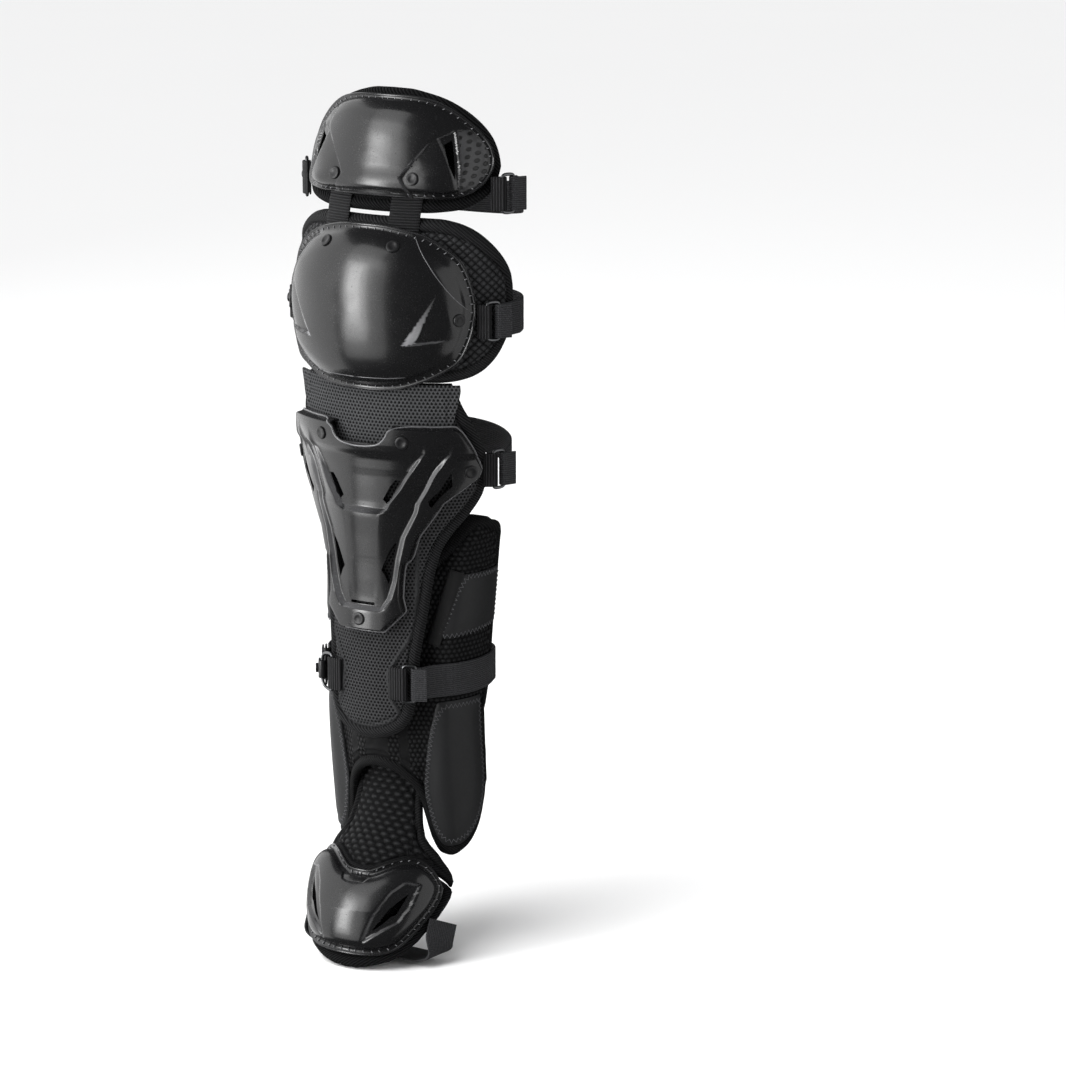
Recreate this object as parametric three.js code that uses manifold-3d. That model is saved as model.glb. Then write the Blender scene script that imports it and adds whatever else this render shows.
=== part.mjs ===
// Catcher's leg guard for the wearer's right leg, fastened as it is worn, with no leg in it.
// Millimetres. +Z is up, -Y is the front that meets the ball, +X is the inner side of the leg.
// Heights are counted from the floor until the last lines, which set the origin behind the knee cap.
import * as THREE from "three";
import { mergeVertices } from "three/addons/utils/BufferGeometryUtils.js";
import Module from "manifold-3d";

const wasm = await Module();
wasm.setup();

// Fits between pieces
const fit = 0.3; // between rigid neighbours
const seat = 0.5; // under a piece that lies on a curved pad

// Stack of pads up the leg
const shinPadBottom = 172;
const shinPadLength = 280;
const kneePadLength = 124;
const hingeGap = 3;
const thighPadLength = 90;
const shinPadTop = shinPadBottom + shinPadLength;
const kneePadBottom = shinPadTop + fit;
const kneePadTop = kneePadBottom + kneePadLength;
const thighPadBottom = kneePadTop + hingeGap;
const guardHeight = thighPadBottom + thighPadLength;

// The leg that the pads wrap: how far its front bows, and its round front and tighter sides
const bowDepth = 57;
const frontRadius = 112;
const frontArc = 89;
const sideRadius = 62;

// Pads
const padThickness = 12;
const padEdgeRound = 3.2;
const thighPadHalf = 96;
const kneePadHalf = 126;
const shinPadHalf = 101;

// Moulded shells
const shellWall = 2.5;
const thighShellHalf = 87;
const thighShellHeight = 74;
const thighShellMargin = 12; // pad that shows under the shell
const thighDome = 11;
const kneeShellHalf = 88;
const kneeShellHeight = 125;
const kneeShellLap = 6; // how far the knee shell hangs below the knee pad
const kneeDome = 13;
const finDepth = 4.5;
const shinShellHalf = 91;
const shinShellHeight = 161;
const shinShellMargin = 87; // pad that shows under the shell
const shinRise = 6.5;
const shinStep = 4.5;
const bevelWidth = 3.5;

// Band across the top of the shin, hinge webs
const bandThickness = 1.8;
const bandLap = 17; // band that runs under the shin shell
const bandHalf = 76;
const webWidth = 24;
const webThickness = 1.6;
const webSpread = 30;

// Rivets
const rivetRadius = 5;
const rivetHead = 1.7;
const rivetShank = 2.2;

// Liner that wraps the calf and the ankle
const linerThickness = 5;
const linerHalf = 131;
const linerTop = 347;
const linerArch = 146;
const calfFlare = 11;
const ankleFlare = 8;
const flareReach = 26;
const panelThickness = 1.2;

// Foot: the flap over the instep and the toe piece
const flapTop = 153;
const flapReach = 62;
const flapThickness = 5;
const flapDrop = 6.6; // from the liner down to the flap at its top
const flapHalf = 76;
const instepRadius = 54;
const toeRadius = 66;
const toePadHalf = 79;
const toePadThickness = 10;
const toePadMargin = 11; // pad that shows under the shell
const toeShellHalf = 67;
const toeShellLength = 85;
const toeDome = 9;

// Straps and their metalwork
const strapWidth = 25.4;
const strapThickness = 1.6;
const tabThickness = 1.4;
const wireRadius = 1.3;
const ringBow = 13;
const slideLength = 12;
const slideWall = 2;
const slideFrame = 2.4;
const hookWall = 1.6;
const hookWidth = 14;
const hookLength = 19;
const tailLength = 9;
const toeStrapThickness = 2;

const clamp = (x, low, high) => Math.min(Math.max(x, low), high);
const mix = (a, b, share) => a + (b - a) * share;
function ease(x, low, high) {
  const share = clamp((x - low) / (high - low), 0, 1);
  return share * share * (3 - 2 * share);
}

// A smooth curve through table values that never overshoots them
function through(xs, ys) {
  const slopes = xs.slice(1).map((x, i) => (ys[i + 1] - ys[i]) / (x - xs[i]));
  const tangents = xs.map((_, i) => {
    const before = slopes[Math.max(i - 1, 0)];
    const after = slopes[Math.min(i, slopes.length - 1)];
    return before * after <= 0 ? 0 : (2 * before * after) / (before + after);
  });
  return (x) => {
    const inside = clamp(x, xs[0], xs.at(-1));
    const i = clamp(xs.findIndex((value) => value > inside) - 1, -1, xs.length - 2);
    const k = i < 0 ? xs.length - 2 : i;
    const step = xs[k + 1] - xs[k];
    const u = (inside - xs[k]) / step;
    const rise = ys[k + 1] - ys[k];
    const bend = u * (1 - u) * step;
    return ys[k] + rise * u * u * (3 - 2 * u) + bend * (tangents[k] * (1 - u) - tangents[k + 1] * u);
  };
}

// Straight lines between table values
function straight(xs, ys) {
  return (x) => {
    const inside = clamp(x, xs[0], xs.at(-1));
    const k = clamp(xs.findIndex((value) => value > inside) - 1, 0, xs.length - 2);
    const i = inside >= xs.at(-1) ? xs.length - 2 : k;
    return mix(ys[i], ys[i + 1], (inside - xs[i]) / (xs[i + 1] - xs[i]));
  };
}

// Level sections of the leg form, from the floor up: share of the guard's height, then shares of
// bowDepth, frontRadius, frontArc and sideRadius
const legSections = [
  { up: 0.09, bow: 0.74, front: 0.64, arc: 0.56, side: 0.97 },
  { up: 0.224, bow: 0.93, front: 0.64, arc: 0.56, side: 0.97 },
  { up: 0.3, bow: 1.0, front: 0.61, arc: 0.56, side: 1.0 },
  { up: 0.47, bow: 0.93, front: 0.66, arc: 0.7, side: 0.97 },
  { up: 0.598, bow: 0.93, front: 0.875, arc: 0.9, side: 0.97 },
  { up: 0.657, bow: 0.91, front: 1.09, arc: 0.92, side: 0.89 },
  { up: 0.687, bow: 0.95, front: 1.07, arc: 0.966, side: 0.81 },
  { up: 0.772, bow: 0.965, front: 1.0, arc: 1.0, side: 0.73 },
  { up: 0.874, bow: 0.75, front: 0.98, arc: 0.99, side: 0.74 },
  { up: 0.919, bow: 0.49, front: 0.965, arc: 0.966, side: 0.81 },
  { up: 0.971, bow: 0.35, front: 0.94, arc: 0.955, side: 0.89 },
  { up: 1.03, bow: 0.25, front: 0.94, arc: 0.955, side: 0.97 },
];
function sectionCurve(column, size) {
  const heights = legSections.map((row) => row.up * guardHeight);
  return through(heights, legSections.map((row) => row[column] * size));
}
const legFront = sectionCurve("bow", -bowDepth);
const legFrontRadius = sectionCurve("front", frontRadius);
const legArc = sectionCurve("arc", frontArc);
const legSideRadius = sectionCurve("side", sideRadius);

// A place on the leg form: s along the skin from the centre line, z up, n out from the skin
function onLeg(s, z, n) {
  const reach = Math.abs(s);
  const wide = legFrontRadius(z);
  const tight = legSideRadius(z);
  const arc = Math.min(reach, legArc(z));
  const turned = arc / wide;
  const heading = turned + (reach - arc) / tight;
  const across = wide * Math.sin(turned) + tight * (Math.sin(heading) - Math.sin(turned));
  const back = wide * (1 - Math.cos(turned)) + tight * (Math.cos(turned) - Math.cos(heading));
  const x = across + n * Math.sin(heading);
  return new THREE.Vector3(s < 0 ? -x : x, legFront(z) + back - n * Math.cos(heading), z);
}

// Middle line of the foot, from the flap's top down to the floor: share of flapTop, share of flapReach
const footSections = [
  { up: 1.0, out: 0.0, round: 0.0 },
  { up: 0.905, out: 0.0, round: 0.0 },
  { up: 0.686, out: 0.13, round: 0.4 },
  { up: 0.47, out: 0.52, round: 0.85 },
  { up: 0.274, out: 0.77, round: 1.0 },
  { up: 0.078, out: 0.94, round: 1.0 },
  { up: -0.013, out: 1.0, round: 1.0 },
];
const flapBack = legFront(flapTop) + padThickness + linerThickness + flapDrop;
const footLine = footSections.map((row) => [flapBack - row.out * flapReach, row.up * flapTop]);
const footSteps = footLine.map((point, i) => {
  const last = footLine[Math.max(i - 1, 0)];
  return Math.hypot(point[0] - last[0], point[1] - last[1]);
});
const footLengths = footSteps.map((_, i) => footSteps.slice(0, i + 1).reduce((sum, step) => sum + step, 0));
const footLength = footLengths.at(-1);
const footY = through(footLengths, footLine.map((point) => point[0]));
const footZ = through(footLengths, footLine.map((point) => point[1]));
const footRound = through(footLengths, footSections.map((row) => mix(instepRadius, toeRadius, row.round)));

// A place on the foot form: s along the skin from the centre line, t down the foot, n out from it
function onFoot(s, t, n) {
  const stride = 0.5;
  const fallY = footY(t + stride) - footY(t - stride);
  const fallZ = footZ(t + stride) - footZ(t - stride);
  const fall = Math.hypot(fallY, fallZ);
  const radius = footRound(t);
  const out = (radius + n) * Math.cos(s / radius) - radius;
  const x = (radius + n) * Math.sin(s / radius);
  return new THREE.Vector3(x, footY(t) + (fallZ / fall) * out, footZ(t) - (fallY / fall) * out);
}

// One closed mesh from corners and faces, turned so that its faces point out
function closedMesh(corners, faces) {
  let volume = 0;
  for (const [a, b, c] of faces) {
    volume += corners[a].dot(corners[b].clone().cross(corners[c]));
  }
  const turned = volume < 0 ? faces.map(([a, b, c]) => [a, c, b]) : faces;
  const geometry = new THREE.BufferGeometry();
  geometry.setAttribute("position", new THREE.Float32BufferAttribute(corners.flatMap((p) => p.toArray()), 3));
  geometry.setIndex(turned.flat());
  return geometry;
}

// Rows of corners joined by quads, open or closed on themselves
function weave(faces, rows, closed) {
  for (let i = 0; i + 1 < rows.length; i += 1) {
    const count = rows[i].length;
    for (let j = 0; j < (closed ? count : count - 1); j += 1) {
      const k = (j + 1) % count;
      faces.push([rows[i][j], rows[i][k], rows[i + 1][k]], [rows[i][j], rows[i + 1][k], rows[i + 1][j]]);
    }
  }
}

// A sheet over a net of places, between an outer and an inner height
function sheetSolid(place, net, outer, inner) {
  const corners = [];
  const add = (point) => corners.push(point) - 1;
  const top = net.map((row, i) => row.map(([a, b], j) => add(place(a, b, outer(a, b, i, j)))));
  const base = net.map((row, i) => row.map(([a, b], j) => add(place(a, b, inner(a, b, i, j)))));
  const faces = [];
  weave(faces, top, false);
  weave(faces, base.map((row) => [...row].reverse()), false);
  const border = (rows) => [
    ...rows[0],
    ...rows.slice(1, -1).map((row) => row.at(-1)),
    ...[...rows.at(-1)].reverse(),
    ...rows.slice(1, -1).map((row) => row[0]).reverse(),
  ];
  weave(faces, [border(base), border(top)], true);
  return closedMesh(corners, faces);
}

// A cap over a closed outline: rings from the rim in to the middle, each with a top and a bottom height
function capSolid(place, middle, outline, rings) {
  const corners = [];
  const add = (point) => corners.push(point) - 1;
  const spot = ([a, b], reach) => [mix(middle[0], a, reach), mix(middle[1], b, reach)];
  const ringOf = (ring, side) =>
    outline.map((edge) => {
      const [a, b] = spot(edge, ring.reach);
      return add(place(a, b, side(a, b, ring)));
    });
  const faces = [];
  const sides = [(a, b, ring) => ring.top(a, b), (a, b, ring) => ring.bottom(a, b)];
  const surfaces = sides.map((side) => {
    const rows = rings.map((ring) => ringOf(ring, side));
    const centre = add(place(middle[0], middle[1], side(middle[0], middle[1], rings.at(-1))));
    return { rows, centre };
  });
  surfaces.forEach(({ rows, centre }, which) => {
    const turnedRows = which === 0 ? rows : rows.map((row) => [...row].reverse());
    weave(faces, turnedRows, true);
    const last = turnedRows.at(-1);
    last.forEach((corner, j) => faces.push([corner, last[(j + 1) % last.length], centre]));
  });
  weave(faces, [surfaces[1].rows[0], surfaces[0].rows[0]], true);
  return closedMesh(corners, faces);
}

// A closed outline, smooth all round, from the rows of its right half: shares of its half width and
// of its height, from the top middle to the bottom middle
function capOutline(rows, half, low, height, count) {
  const right = rows.map((row) => new THREE.Vector3(row.across * half, low + row.up * height, 0));
  const left = right.slice(1, -1).reverse().map((point) => new THREE.Vector3(-point.x, point.y, 0));
  const curve = new THREE.CatmullRomCurve3([...right, ...left], true, "centripetal");
  return curve.getSpacedPoints(count).slice(0, count).map((point) => [point.x, point.y]);
}

// A prism over a small outline on a form, from one height to another
function prism(place, outline, low, high) {
  const corners = [...outline.map(([a, b]) => place(a, b, low)), ...outline.map(([a, b]) => place(a, b, high))];
  const flat = outline.map(([a, b]) => new THREE.Vector2(a, b));
  const faces = [];
  for (const [a, b, c] of THREE.ShapeUtils.triangulateShape(flat, [])) {
    faces.push([a + flat.length, b + flat.length, c + flat.length], [a, c, b]);
  }
  const around = outline.map((_, i) => i);
  const turned = THREE.ShapeUtils.isClockWise(flat) ? around.reverse() : around;
  weave(faces, [turned, turned.map((i) => i + flat.length)], true);
  return closedMesh(corners, faces);
}

// Cutting and joining
function toSolid(geometry) {
  const bare = geometry.clone();
  bare.deleteAttribute("normal");
  bare.deleteAttribute("uv");
  const merged = mergeVertices(bare, 1e-4);
  const mesh = { numProp: 3, vertProperties: merged.attributes.position.array, triVerts: new Uint32Array(merged.index.array) };
  return new wasm.Manifold(new wasm.Mesh(mesh));
}
function toGeometry(solid) {
  const mesh = solid.getMesh();
  const geometry = new THREE.BufferGeometry();
  geometry.setAttribute("position", new THREE.Float32BufferAttribute(mesh.vertProperties, 3));
  geometry.setIndex(Array.from(mesh.triVerts));
  return geometry;
}
function subtract(body, cuts) {
  return toGeometry(cuts.reduce((rest, cut) => rest.subtract(toSolid(cut)), toSolid(body)));
}
function join(parts) {
  return toGeometry(parts.map(toSolid).reduce((sum, part) => sum.add(part)));
}
const mirrored = (outline) => outline.map(([a, b]) => [-a, b]);
const onBothSides = (outline) => [outline, mirrored(outline)];

// Finishes
const finish = (color, roughness, metalness = 0) => new THREE.MeshStandardMaterial({ color, roughness, metalness });
const glossShell = finish(0x17181a, 0.25);
const padCloth = finish(0x222326, 0.85);
const meshCloth = finish(0x4a4c50, 0.85);
const webbing = finish(0x1b1c1e, 0.75);
const elastic = finish(0x3c3e41, 0.8);
const panelFilm = finish(0x46484b, 0.5);
const blackPlastic = finish(0x141516, 0.4);
const bareWire = finish(0xc4c6c9, 0.3, 1);

const guard = new THREE.Group();
function addPiece(name, geometry, material, parent = guard) {
  const mesh = new THREE.Mesh(geometry, material);
  mesh.name = name;
  parent.add(mesh);
  return mesh;
}
const sideNames = [
  { side: "outer", sign: -1 },
  { side: "inner", sign: 1 },
];

// Pads from a table of columns: share of the half width, then the lower and upper edge there
const padRows = [0, 0.05, 0.35, 0.65, 0.95, 1];
function padNet(columns, rows) {
  const right = columns.map((column) => rows.map((share) => [column.across, mix(column.low, column.high, share)]));
  const left = right.slice(1).reverse().map((column) => mirrored(column));
  return [...left, ...right];
}
function padSolid(place, net, thickness, top = 0) {
  const lastRow = net.length - 1;
  const lastPlace = net[0].length - 1;
  const edge = (i, j) => i === 0 || j === 0 || i === lastRow || j === lastPlace;
  const outer = (a, b, i, j) => top - (edge(i, j) ? padEdgeRound : 0);
  const inner = (a, b, i, j) => top - thickness + (edge(i, j) ? padEdgeRound : 0);
  return sheetSolid(place, net, outer, inner);
}

// Thigh pad: a rounded cap shape with a flat lower edge
const thighPadColumns = [
  { across: 0, low: 0, high: 1 },
  { across: 0.16, low: 0, high: 0.995 },
  { across: 0.32, low: 0, high: 0.965 },
  { across: 0.47, low: 0, high: 0.92 },
  { across: 0.62, low: 0.01, high: 0.845 },
  { across: 0.76, low: 0.03, high: 0.745 },
  { across: 0.88, low: 0.085, high: 0.62 },
  { across: 0.96, low: 0.15, high: 0.48 },
  { across: 1, low: 0.24, high: 0.37 },
];
const sized = (columns, half, low, height) =>
  columns.map((row) => ({ across: row.across * half, low: low + row.low * height, high: low + row.high * height }));
const thighPadNet = padNet(sized(thighPadColumns, thighPadHalf, thighPadBottom, thighPadLength), [0, 0.05, 0.2, 0.32, 0.45, 0.7, 0.95, 1]);
addPiece("thigh_pad", padSolid(onLeg, thighPadNet, padThickness), padCloth);

// Knee pad: its wings reach round the sides of the knee
const kneePadColumns = [
  { across: 0, low: 0, high: 1 },
  { across: 0.11, low: 0, high: 1 },
  { across: 0.22, low: 0, high: 1 },
  { across: 0.34, low: 0, high: 0.995 },
  { across: 0.45, low: 0, high: 0.99 },
  { across: 0.555, low: 0.008, high: 0.97 },
  { across: 0.64, low: 0.025, high: 0.94 },
  { across: 0.74, low: 0.065, high: 0.885 },
  { across: 0.84, low: 0.14, high: 0.81 },
  { across: 0.92, low: 0.24, high: 0.735 },
  { across: 0.975, low: 0.34, high: 0.66 },
  { across: 1, low: 0.44, high: 0.58 },
];
const kneePadNet = padNet(sized(kneePadColumns, kneePadHalf, kneePadBottom, kneePadLength), padRows);
addPiece("knee_pad", padSolid(onLeg, kneePadNet, padThickness), padCloth);

// Shin pad: wide under the knee, narrow over the ankle, from rows of height and half width
const shinPadRows = [
  { up: 0, reach: 0.06 },
  { up: 0.012, reach: 0.2 },
  { up: 0.035, reach: 0.31 },
  { up: 0.07, reach: 0.38 },
  { up: 0.13, reach: 0.425 },
  { up: 0.235, reach: 0.445 },
  { up: 0.345, reach: 0.495 },
  { up: 0.455, reach: 0.545 },
  { up: 0.53, reach: 0.605 },
  { up: 0.58, reach: 0.7 },
  { up: 0.63, reach: 0.84 },
  { up: 0.69, reach: 0.96 },
  { up: 0.755, reach: 1 },
  { up: 0.81, reach: 0.96 },
  { up: 0.88, reach: 0.86 },
  { up: 0.94, reach: 0.76 },
  { up: 1, reach: 0.69 },
];
const shinPadShares = [-1, -0.92, -0.62, -0.3, 0, 0.3, 0.62, 0.92, 1];
const shinPadHeights = shinPadRows.map((row) => shinPadBottom + row.up * shinPadLength);
const shinPadEdge = straight(shinPadHeights, shinPadRows.map((row) => row.reach * shinPadHalf));
const shinPadNet = shinPadHeights.map((z) => shinPadShares.map((share) => [share * shinPadEdge(z), z]));
addPiece("shin_pad", padSolid(onLeg, shinPadNet, padThickness), padCloth);

// Shells ride over the hinge webs and over the band, which lie between them and the pads
const thighShellLow = thighPadBottom + thighShellMargin;
const kneeShellLow = kneePadBottom - kneeShellLap;
const kneeShellTop = kneeShellLow + kneeShellHeight;
const shinShellLow = shinPadBottom + shinShellMargin;
const shinShellTop = shinShellLow + shinShellHeight;
const thighRivetUp = thighShellLow + 0.19 * thighShellHeight;
const kneeRivetUp = kneeShellTop - 0.115 * kneeShellHeight;
const webOverRun = 7;
const webLow = kneeRivetUp - webOverRun;
const webHigh = thighRivetUp + webOverRun;
const rampWidth = 7;
const webMargin = 6;
const webSeat = 2 * fit;
function shellSeat(s, z) {
  const fromWeb = Math.abs(Math.abs(s) - webSpread) - webWidth / 2;
  const nearWeb = 1 - ease(fromWeb, webMargin, webMargin + rampWidth);
  const below = ease(z, webLow - webMargin - rampWidth, webLow - webMargin);
  const alongWeb = below * (1 - ease(z, webHigh + webMargin, webHigh + webMargin + rampWidth));
  const overBand = ease(z, bandLow - rampWidth - 2, bandLow - 2) * (1 - ease(z, shinPadTop, shinPadTop + rampWidth));
  return seat + Math.max((webThickness + 2 * seat) * nearWeb * alongWeb, z < shinPadTop ? (bandThickness + fit) * overBand : 0);
}
const bandLow = shinShellTop - bandLap;

// Domed shells: rings from the rim in, by share of the way out and of the dome's height
const domeRings = [
  { reach: 1, rise: 0 },
  { reach: 0.92, rise: 0.04 },
  { reach: 0.865, rise: 0.38 },
  { reach: 0.72, rise: 0.72 },
  { reach: 0.5, rise: 0.9 },
  { reach: 0.25, rise: 0.98 },
];
function domeHeight(dome, reach) {
  const rising = [...domeRings].reverse();
  return dome * straight([0, ...rising.map((ring) => ring.reach)], [1, ...rising.map((ring) => ring.rise)])(reach);
}
function domeShell({ place, middle, outline, dome, seatAt, dents = [], cuts = [] }) {
  const outer = domeRings.map(({ reach, rise }) => ({
    reach,
    top: (a, b) => seatAt(a, b) + shellWall + rise * dome,
    bottom: (a, b) => seatAt(a, b),
  }));
  const inner = domeRings.slice(1, -1).map(({ reach, rise }) => ({
    reach,
    top: (a, b) => seatAt(a, b) + (reach > 0.9 ? 0.01 : rise * dome),
    bottom: (a, b) => seatAt(a, b) - 2 * shellWall,
  }));
  const skin = toSolid(capSolid(place, middle, outline, outer));
  const hollow = toSolid(capSolid(place, middle, outline, inner));
  const dented = dents.reduce((body, dent) => body.subtract(toSolid(dent(0))), skin);
  const kept = dents.reduce((body, dent) => body.subtract(toSolid(dent(shellWall))), hollow);
  const shell = dented.subtract(kept);
  return toGeometry(cuts.reduce((body, cut) => body.subtract(toSolid(cut)), shell));
}

// Rivets pass through a hole in their shell; the head lies on the local slope of the shell
const rivetSides = 8;
const rivetProfile = [
  [0, -shellWall - fit],
  [rivetShank, -shellWall - fit],
  [rivetShank, fit],
  [rivetRadius, fit],
  [rivetRadius * 0.84, fit + rivetHead],
  [0, fit + rivetHead],
].map(([radius, height]) => new THREE.Vector2(radius, height));
function slopeFrame(place, a, b, heightAt) {
  const reach = rivetRadius;
  const point = (da, db) => place(a + da, b + db, heightAt(a + da, b + db));
  const across = point(reach, 0).sub(point(-reach, 0)).normalize();
  const along = point(0, reach).sub(point(0, -reach)).normalize();
  const out = across.clone().cross(along).normalize();
  const facing = place(a, b, 1).sub(place(a, b, 0));
  if (out.dot(facing) < 0) {
    out.negate();
  }
  const side = out.clone().cross(along).normalize();
  const tips = [point(reach, 0), point(-reach, 0), point(0, reach), point(0, -reach), point(0, 0)];
  const highest = Math.max(...tips.map((tip) => tip.sub(point(0, 0)).dot(out)));
  const frame = new THREE.Matrix4().makeBasis(side, out, along);
  frame.setPosition(point(0, 0).addScaledVector(out, highest));
  return frame;
}
function rivetGeometry(frame) {
  return new THREE.LatheGeometry(rivetProfile, rivetSides).applyMatrix4(frame);
}
function rivetHole(frame) {
  const depth = 4 * shellWall;
  return new THREE.CylinderGeometry(rivetShank + fit, rivetShank + fit, 2 * depth, rivetSides).applyMatrix4(frame);
}

// Thigh shell: a low dome with two slanted vents, on two rivets
const thighOutlineRows = [
  { across: 0, up: 1 },
  { across: 0.27, up: 0.99 },
  { across: 0.46, up: 0.945 },
  { across: 0.62, up: 0.855 },
  { across: 0.77, up: 0.73 },
  { across: 0.89, up: 0.6 },
  { across: 0.98, up: 0.44 },
  { across: 1, up: 0.27 },
  { across: 0.95, up: 0.13 },
  { across: 0.84, up: 0.035 },
  { across: 0.6, up: 0.0 },
  { across: 0.3, up: 0.005 },
  { across: 0, up: 0.01 },
];
const thighOutline = capOutline(thighOutlineRows, thighShellHalf, thighShellLow, thighShellHeight, 26);
const thighMiddle = [0, thighShellLow + 0.45 * thighShellHeight];
function reachOn(middle, outline, [a, b]) {
  const angle = Math.atan2(b - middle[1], a - middle[0]);
  const turn = (point) => Math.atan2(point[1] - middle[1], point[0] - middle[0]);
  const gap = (point) => Math.abs(Math.atan2(Math.sin(turn(point) - angle), Math.cos(turn(point) - angle)));
  const [near, next] = [...outline].sort((p, q) => gap(p) - gap(q));
  const distance = (point) => Math.hypot(point[0] - middle[0], point[1] - middle[1]);
  const edge = mix(distance(near), distance(next), gap(near) / (gap(near) + gap(next) + 1e-9));
  return distance([a, b]) / edge;
}
const domeTop = (middle, outline, dome, seatAt) => (a, b) =>
  seatAt(a, b) + shellWall + domeHeight(dome, clamp(reachOn(middle, outline, [a, b]), 0, 1));
const thighTop = domeTop(thighMiddle, thighOutline, thighDome, shellSeat);
const thighVent = [
  { across: 0.52, up: 0.58 },
  { across: 0.61, up: 0.64 },
  { across: 0.67, up: 0.22 },
].map((row) => [row.across * thighShellHalf, thighShellLow + row.up * thighShellHeight]);
const cutThrough = (place, outline) => prism(place, outline, -2 * shellWall, 3 * kneeDome);
const thighRivetFrames = sideNames.map(({ sign }) => slopeFrame(onLeg, sign * 0.37 * thighShellHalf, thighRivetUp, thighTop));
const thighShell = domeShell({
  place: onLeg,
  middle: thighMiddle,
  outline: thighOutline,
  dome: thighDome,
  seatAt: shellSeat,
  cuts: [...onBothSides(thighVent).map((vent) => cutThrough(onLeg, vent)), ...thighRivetFrames.map(rivetHole)],
});
addPiece("thigh_shell", thighShell, glossShell);
sideNames.forEach(({ side }, i) => {
  addPiece(`thigh_rivet_${side}`, rivetGeometry(thighRivetFrames[i]), blackPlastic);
});

// Knee shell: the big cap, with a slanting fin pressed into each side
const kneeOutlineRows = [
  { across: 0, up: 1 },
  { across: 0.2, up: 0.995 },
  { across: 0.39, up: 0.97 },
  { across: 0.56, up: 0.935 },
  { across: 0.73, up: 0.87 },
  { across: 0.87, up: 0.79 },
  { across: 0.965, up: 0.655 },
  { across: 1, up: 0.53 },
  { across: 0.985, up: 0.41 },
  { across: 0.94, up: 0.295 },
  { across: 0.86, up: 0.19 },
  { across: 0.72, up: 0.12 },
  { across: 0.56, up: 0.065 },
  { across: 0.38, up: 0.02 },
  { across: 0.19, up: 0.002 },
  { across: 0, up: 0 },
];
const kneeOutline = capOutline(kneeOutlineRows, kneeShellHalf, kneeShellLow, kneeShellHeight, 30);
const kneeMiddle = [0, kneeShellLow + 0.5 * kneeShellHeight];
const kneeTop = domeTop(kneeMiddle, kneeOutline, kneeDome, shellSeat);
const finCorners = [
  { across: 0.42, up: 0.3, depth: 1 },
  { across: 0.69, up: 0.62, depth: 0.35 },
  { across: 0.82, up: 0.34, depth: -0.3 },
];
function finDent(sign) {
  return (wall) => {
    const spots = finCorners.map((row) => {
      const a = sign * row.across * kneeShellHalf;
      const b = kneeShellLow + row.up * kneeShellHeight;
      return { a, b, floor: kneeTop(a, b) - row.depth * finDepth };
    });
    const middle = { a: 0, b: 0 };
    spots.forEach((spot) => {
      middle.a += spot.a / spots.length;
      middle.b += spot.b / spots.length;
    });
    const grown = spots.map((spot) => {
      const size = Math.hypot(spot.a - middle.a, spot.b - middle.b);
      const grow = 1 + (2.2 * wall) / size;
      return { a: mix(middle.a, spot.a, grow), b: mix(middle.b, spot.b, grow), floor: spot.floor - wall };
    });
    const low = grown.map((spot) => onLeg(spot.a, spot.b, spot.floor));
    const high = grown.map((spot) => onLeg(spot.a, spot.b, 3 * kneeDome));
    const faces = [[0, 1, 2], [5, 4, 3]];
    weave(faces, [[0, 2, 1], [3, 5, 4]], true);
    return closedMesh([...low, ...high], faces);
  };
}
const kneeRivets = [
  { name: "top", across: 0.31, up: (kneeRivetUp - kneeShellLow) / kneeShellHeight },
  { name: "side", across: 0.855, up: 0.45 },
];
const kneeRivetFrames = kneeRivets.flatMap((row) =>
  sideNames.map(({ side, sign }) => ({
    name: `knee_rivet_${row.name}_${side}`,
    frame: slopeFrame(onLeg, sign * row.across * kneeShellHalf, kneeShellLow + row.up * kneeShellHeight, kneeTop),
  })),
);
const kneeShell = domeShell({
  place: onLeg,
  middle: kneeMiddle,
  outline: kneeOutline,
  dome: kneeDome,
  seatAt: shellSeat,
  dents: sideNames.map(({ sign }) => finDent(sign)),
  cuts: kneeRivetFrames.map(({ frame }) => rivetHole(frame)),
});
addPiece("knee_shell", kneeShell, glossShell);
kneeRivetFrames.forEach(({ name, frame }) => addPiece(name, rivetGeometry(frame), blackPlastic));

// Hinge webs: two strips of webbing from the thigh rivets to the knee rivets
const webRows = [0, 0.14, 0.28, 0.42, 0.56, 0.7, 0.85, 1];
const webColumns = [-0.5, 0, 0.5];
sideNames.forEach(({ side, sign }) => {
  const net = webRows.map((share) =>
    webColumns.map((across) => [sign * (webSpread + across * webWidth), mix(webLow, webHigh, share)]),
  );
  const web = sheetSolid(onLeg, net, () => webSeat + webThickness, () => webSeat);
  addPiece(`hinge_web_${side}`, web, webbing);
});

// Band of woven mesh between the knee shell and the shin shell
const bandColumns = [
  { across: 0, low: 0 },
  { across: 0.2, low: 0 },
  { across: 0.4, low: 0 },
  { across: 0.58, low: 0 },
  { across: 0.74, low: 0 },
  { across: 0.87, low: 0.05 },
  { across: 1, low: 0.9 },
];
const kneeRimLow = straight(
  kneeOutlineRows.slice(-5).reverse().map((row) => row.across * kneeShellHalf),
  kneeOutlineRows.slice(-5).reverse().map((row) => kneeShellLow + row.up * kneeShellHeight),
);
const bandNet = padNet(
  bandColumns.map((row) => {
    const across = row.across * bandHalf;
    const high = Math.min(kneeRimLow(across) - seat - fit, shinPadTop - fit);
    return { across, low: mix(bandLow, high, row.low), high };
  }),
  [0, 0.33, 0.66, 1],
);
addPiece("shin_band", sheetSolid(onLeg, bandNet, () => seat + bandThickness, () => seat), meshCloth);

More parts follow.
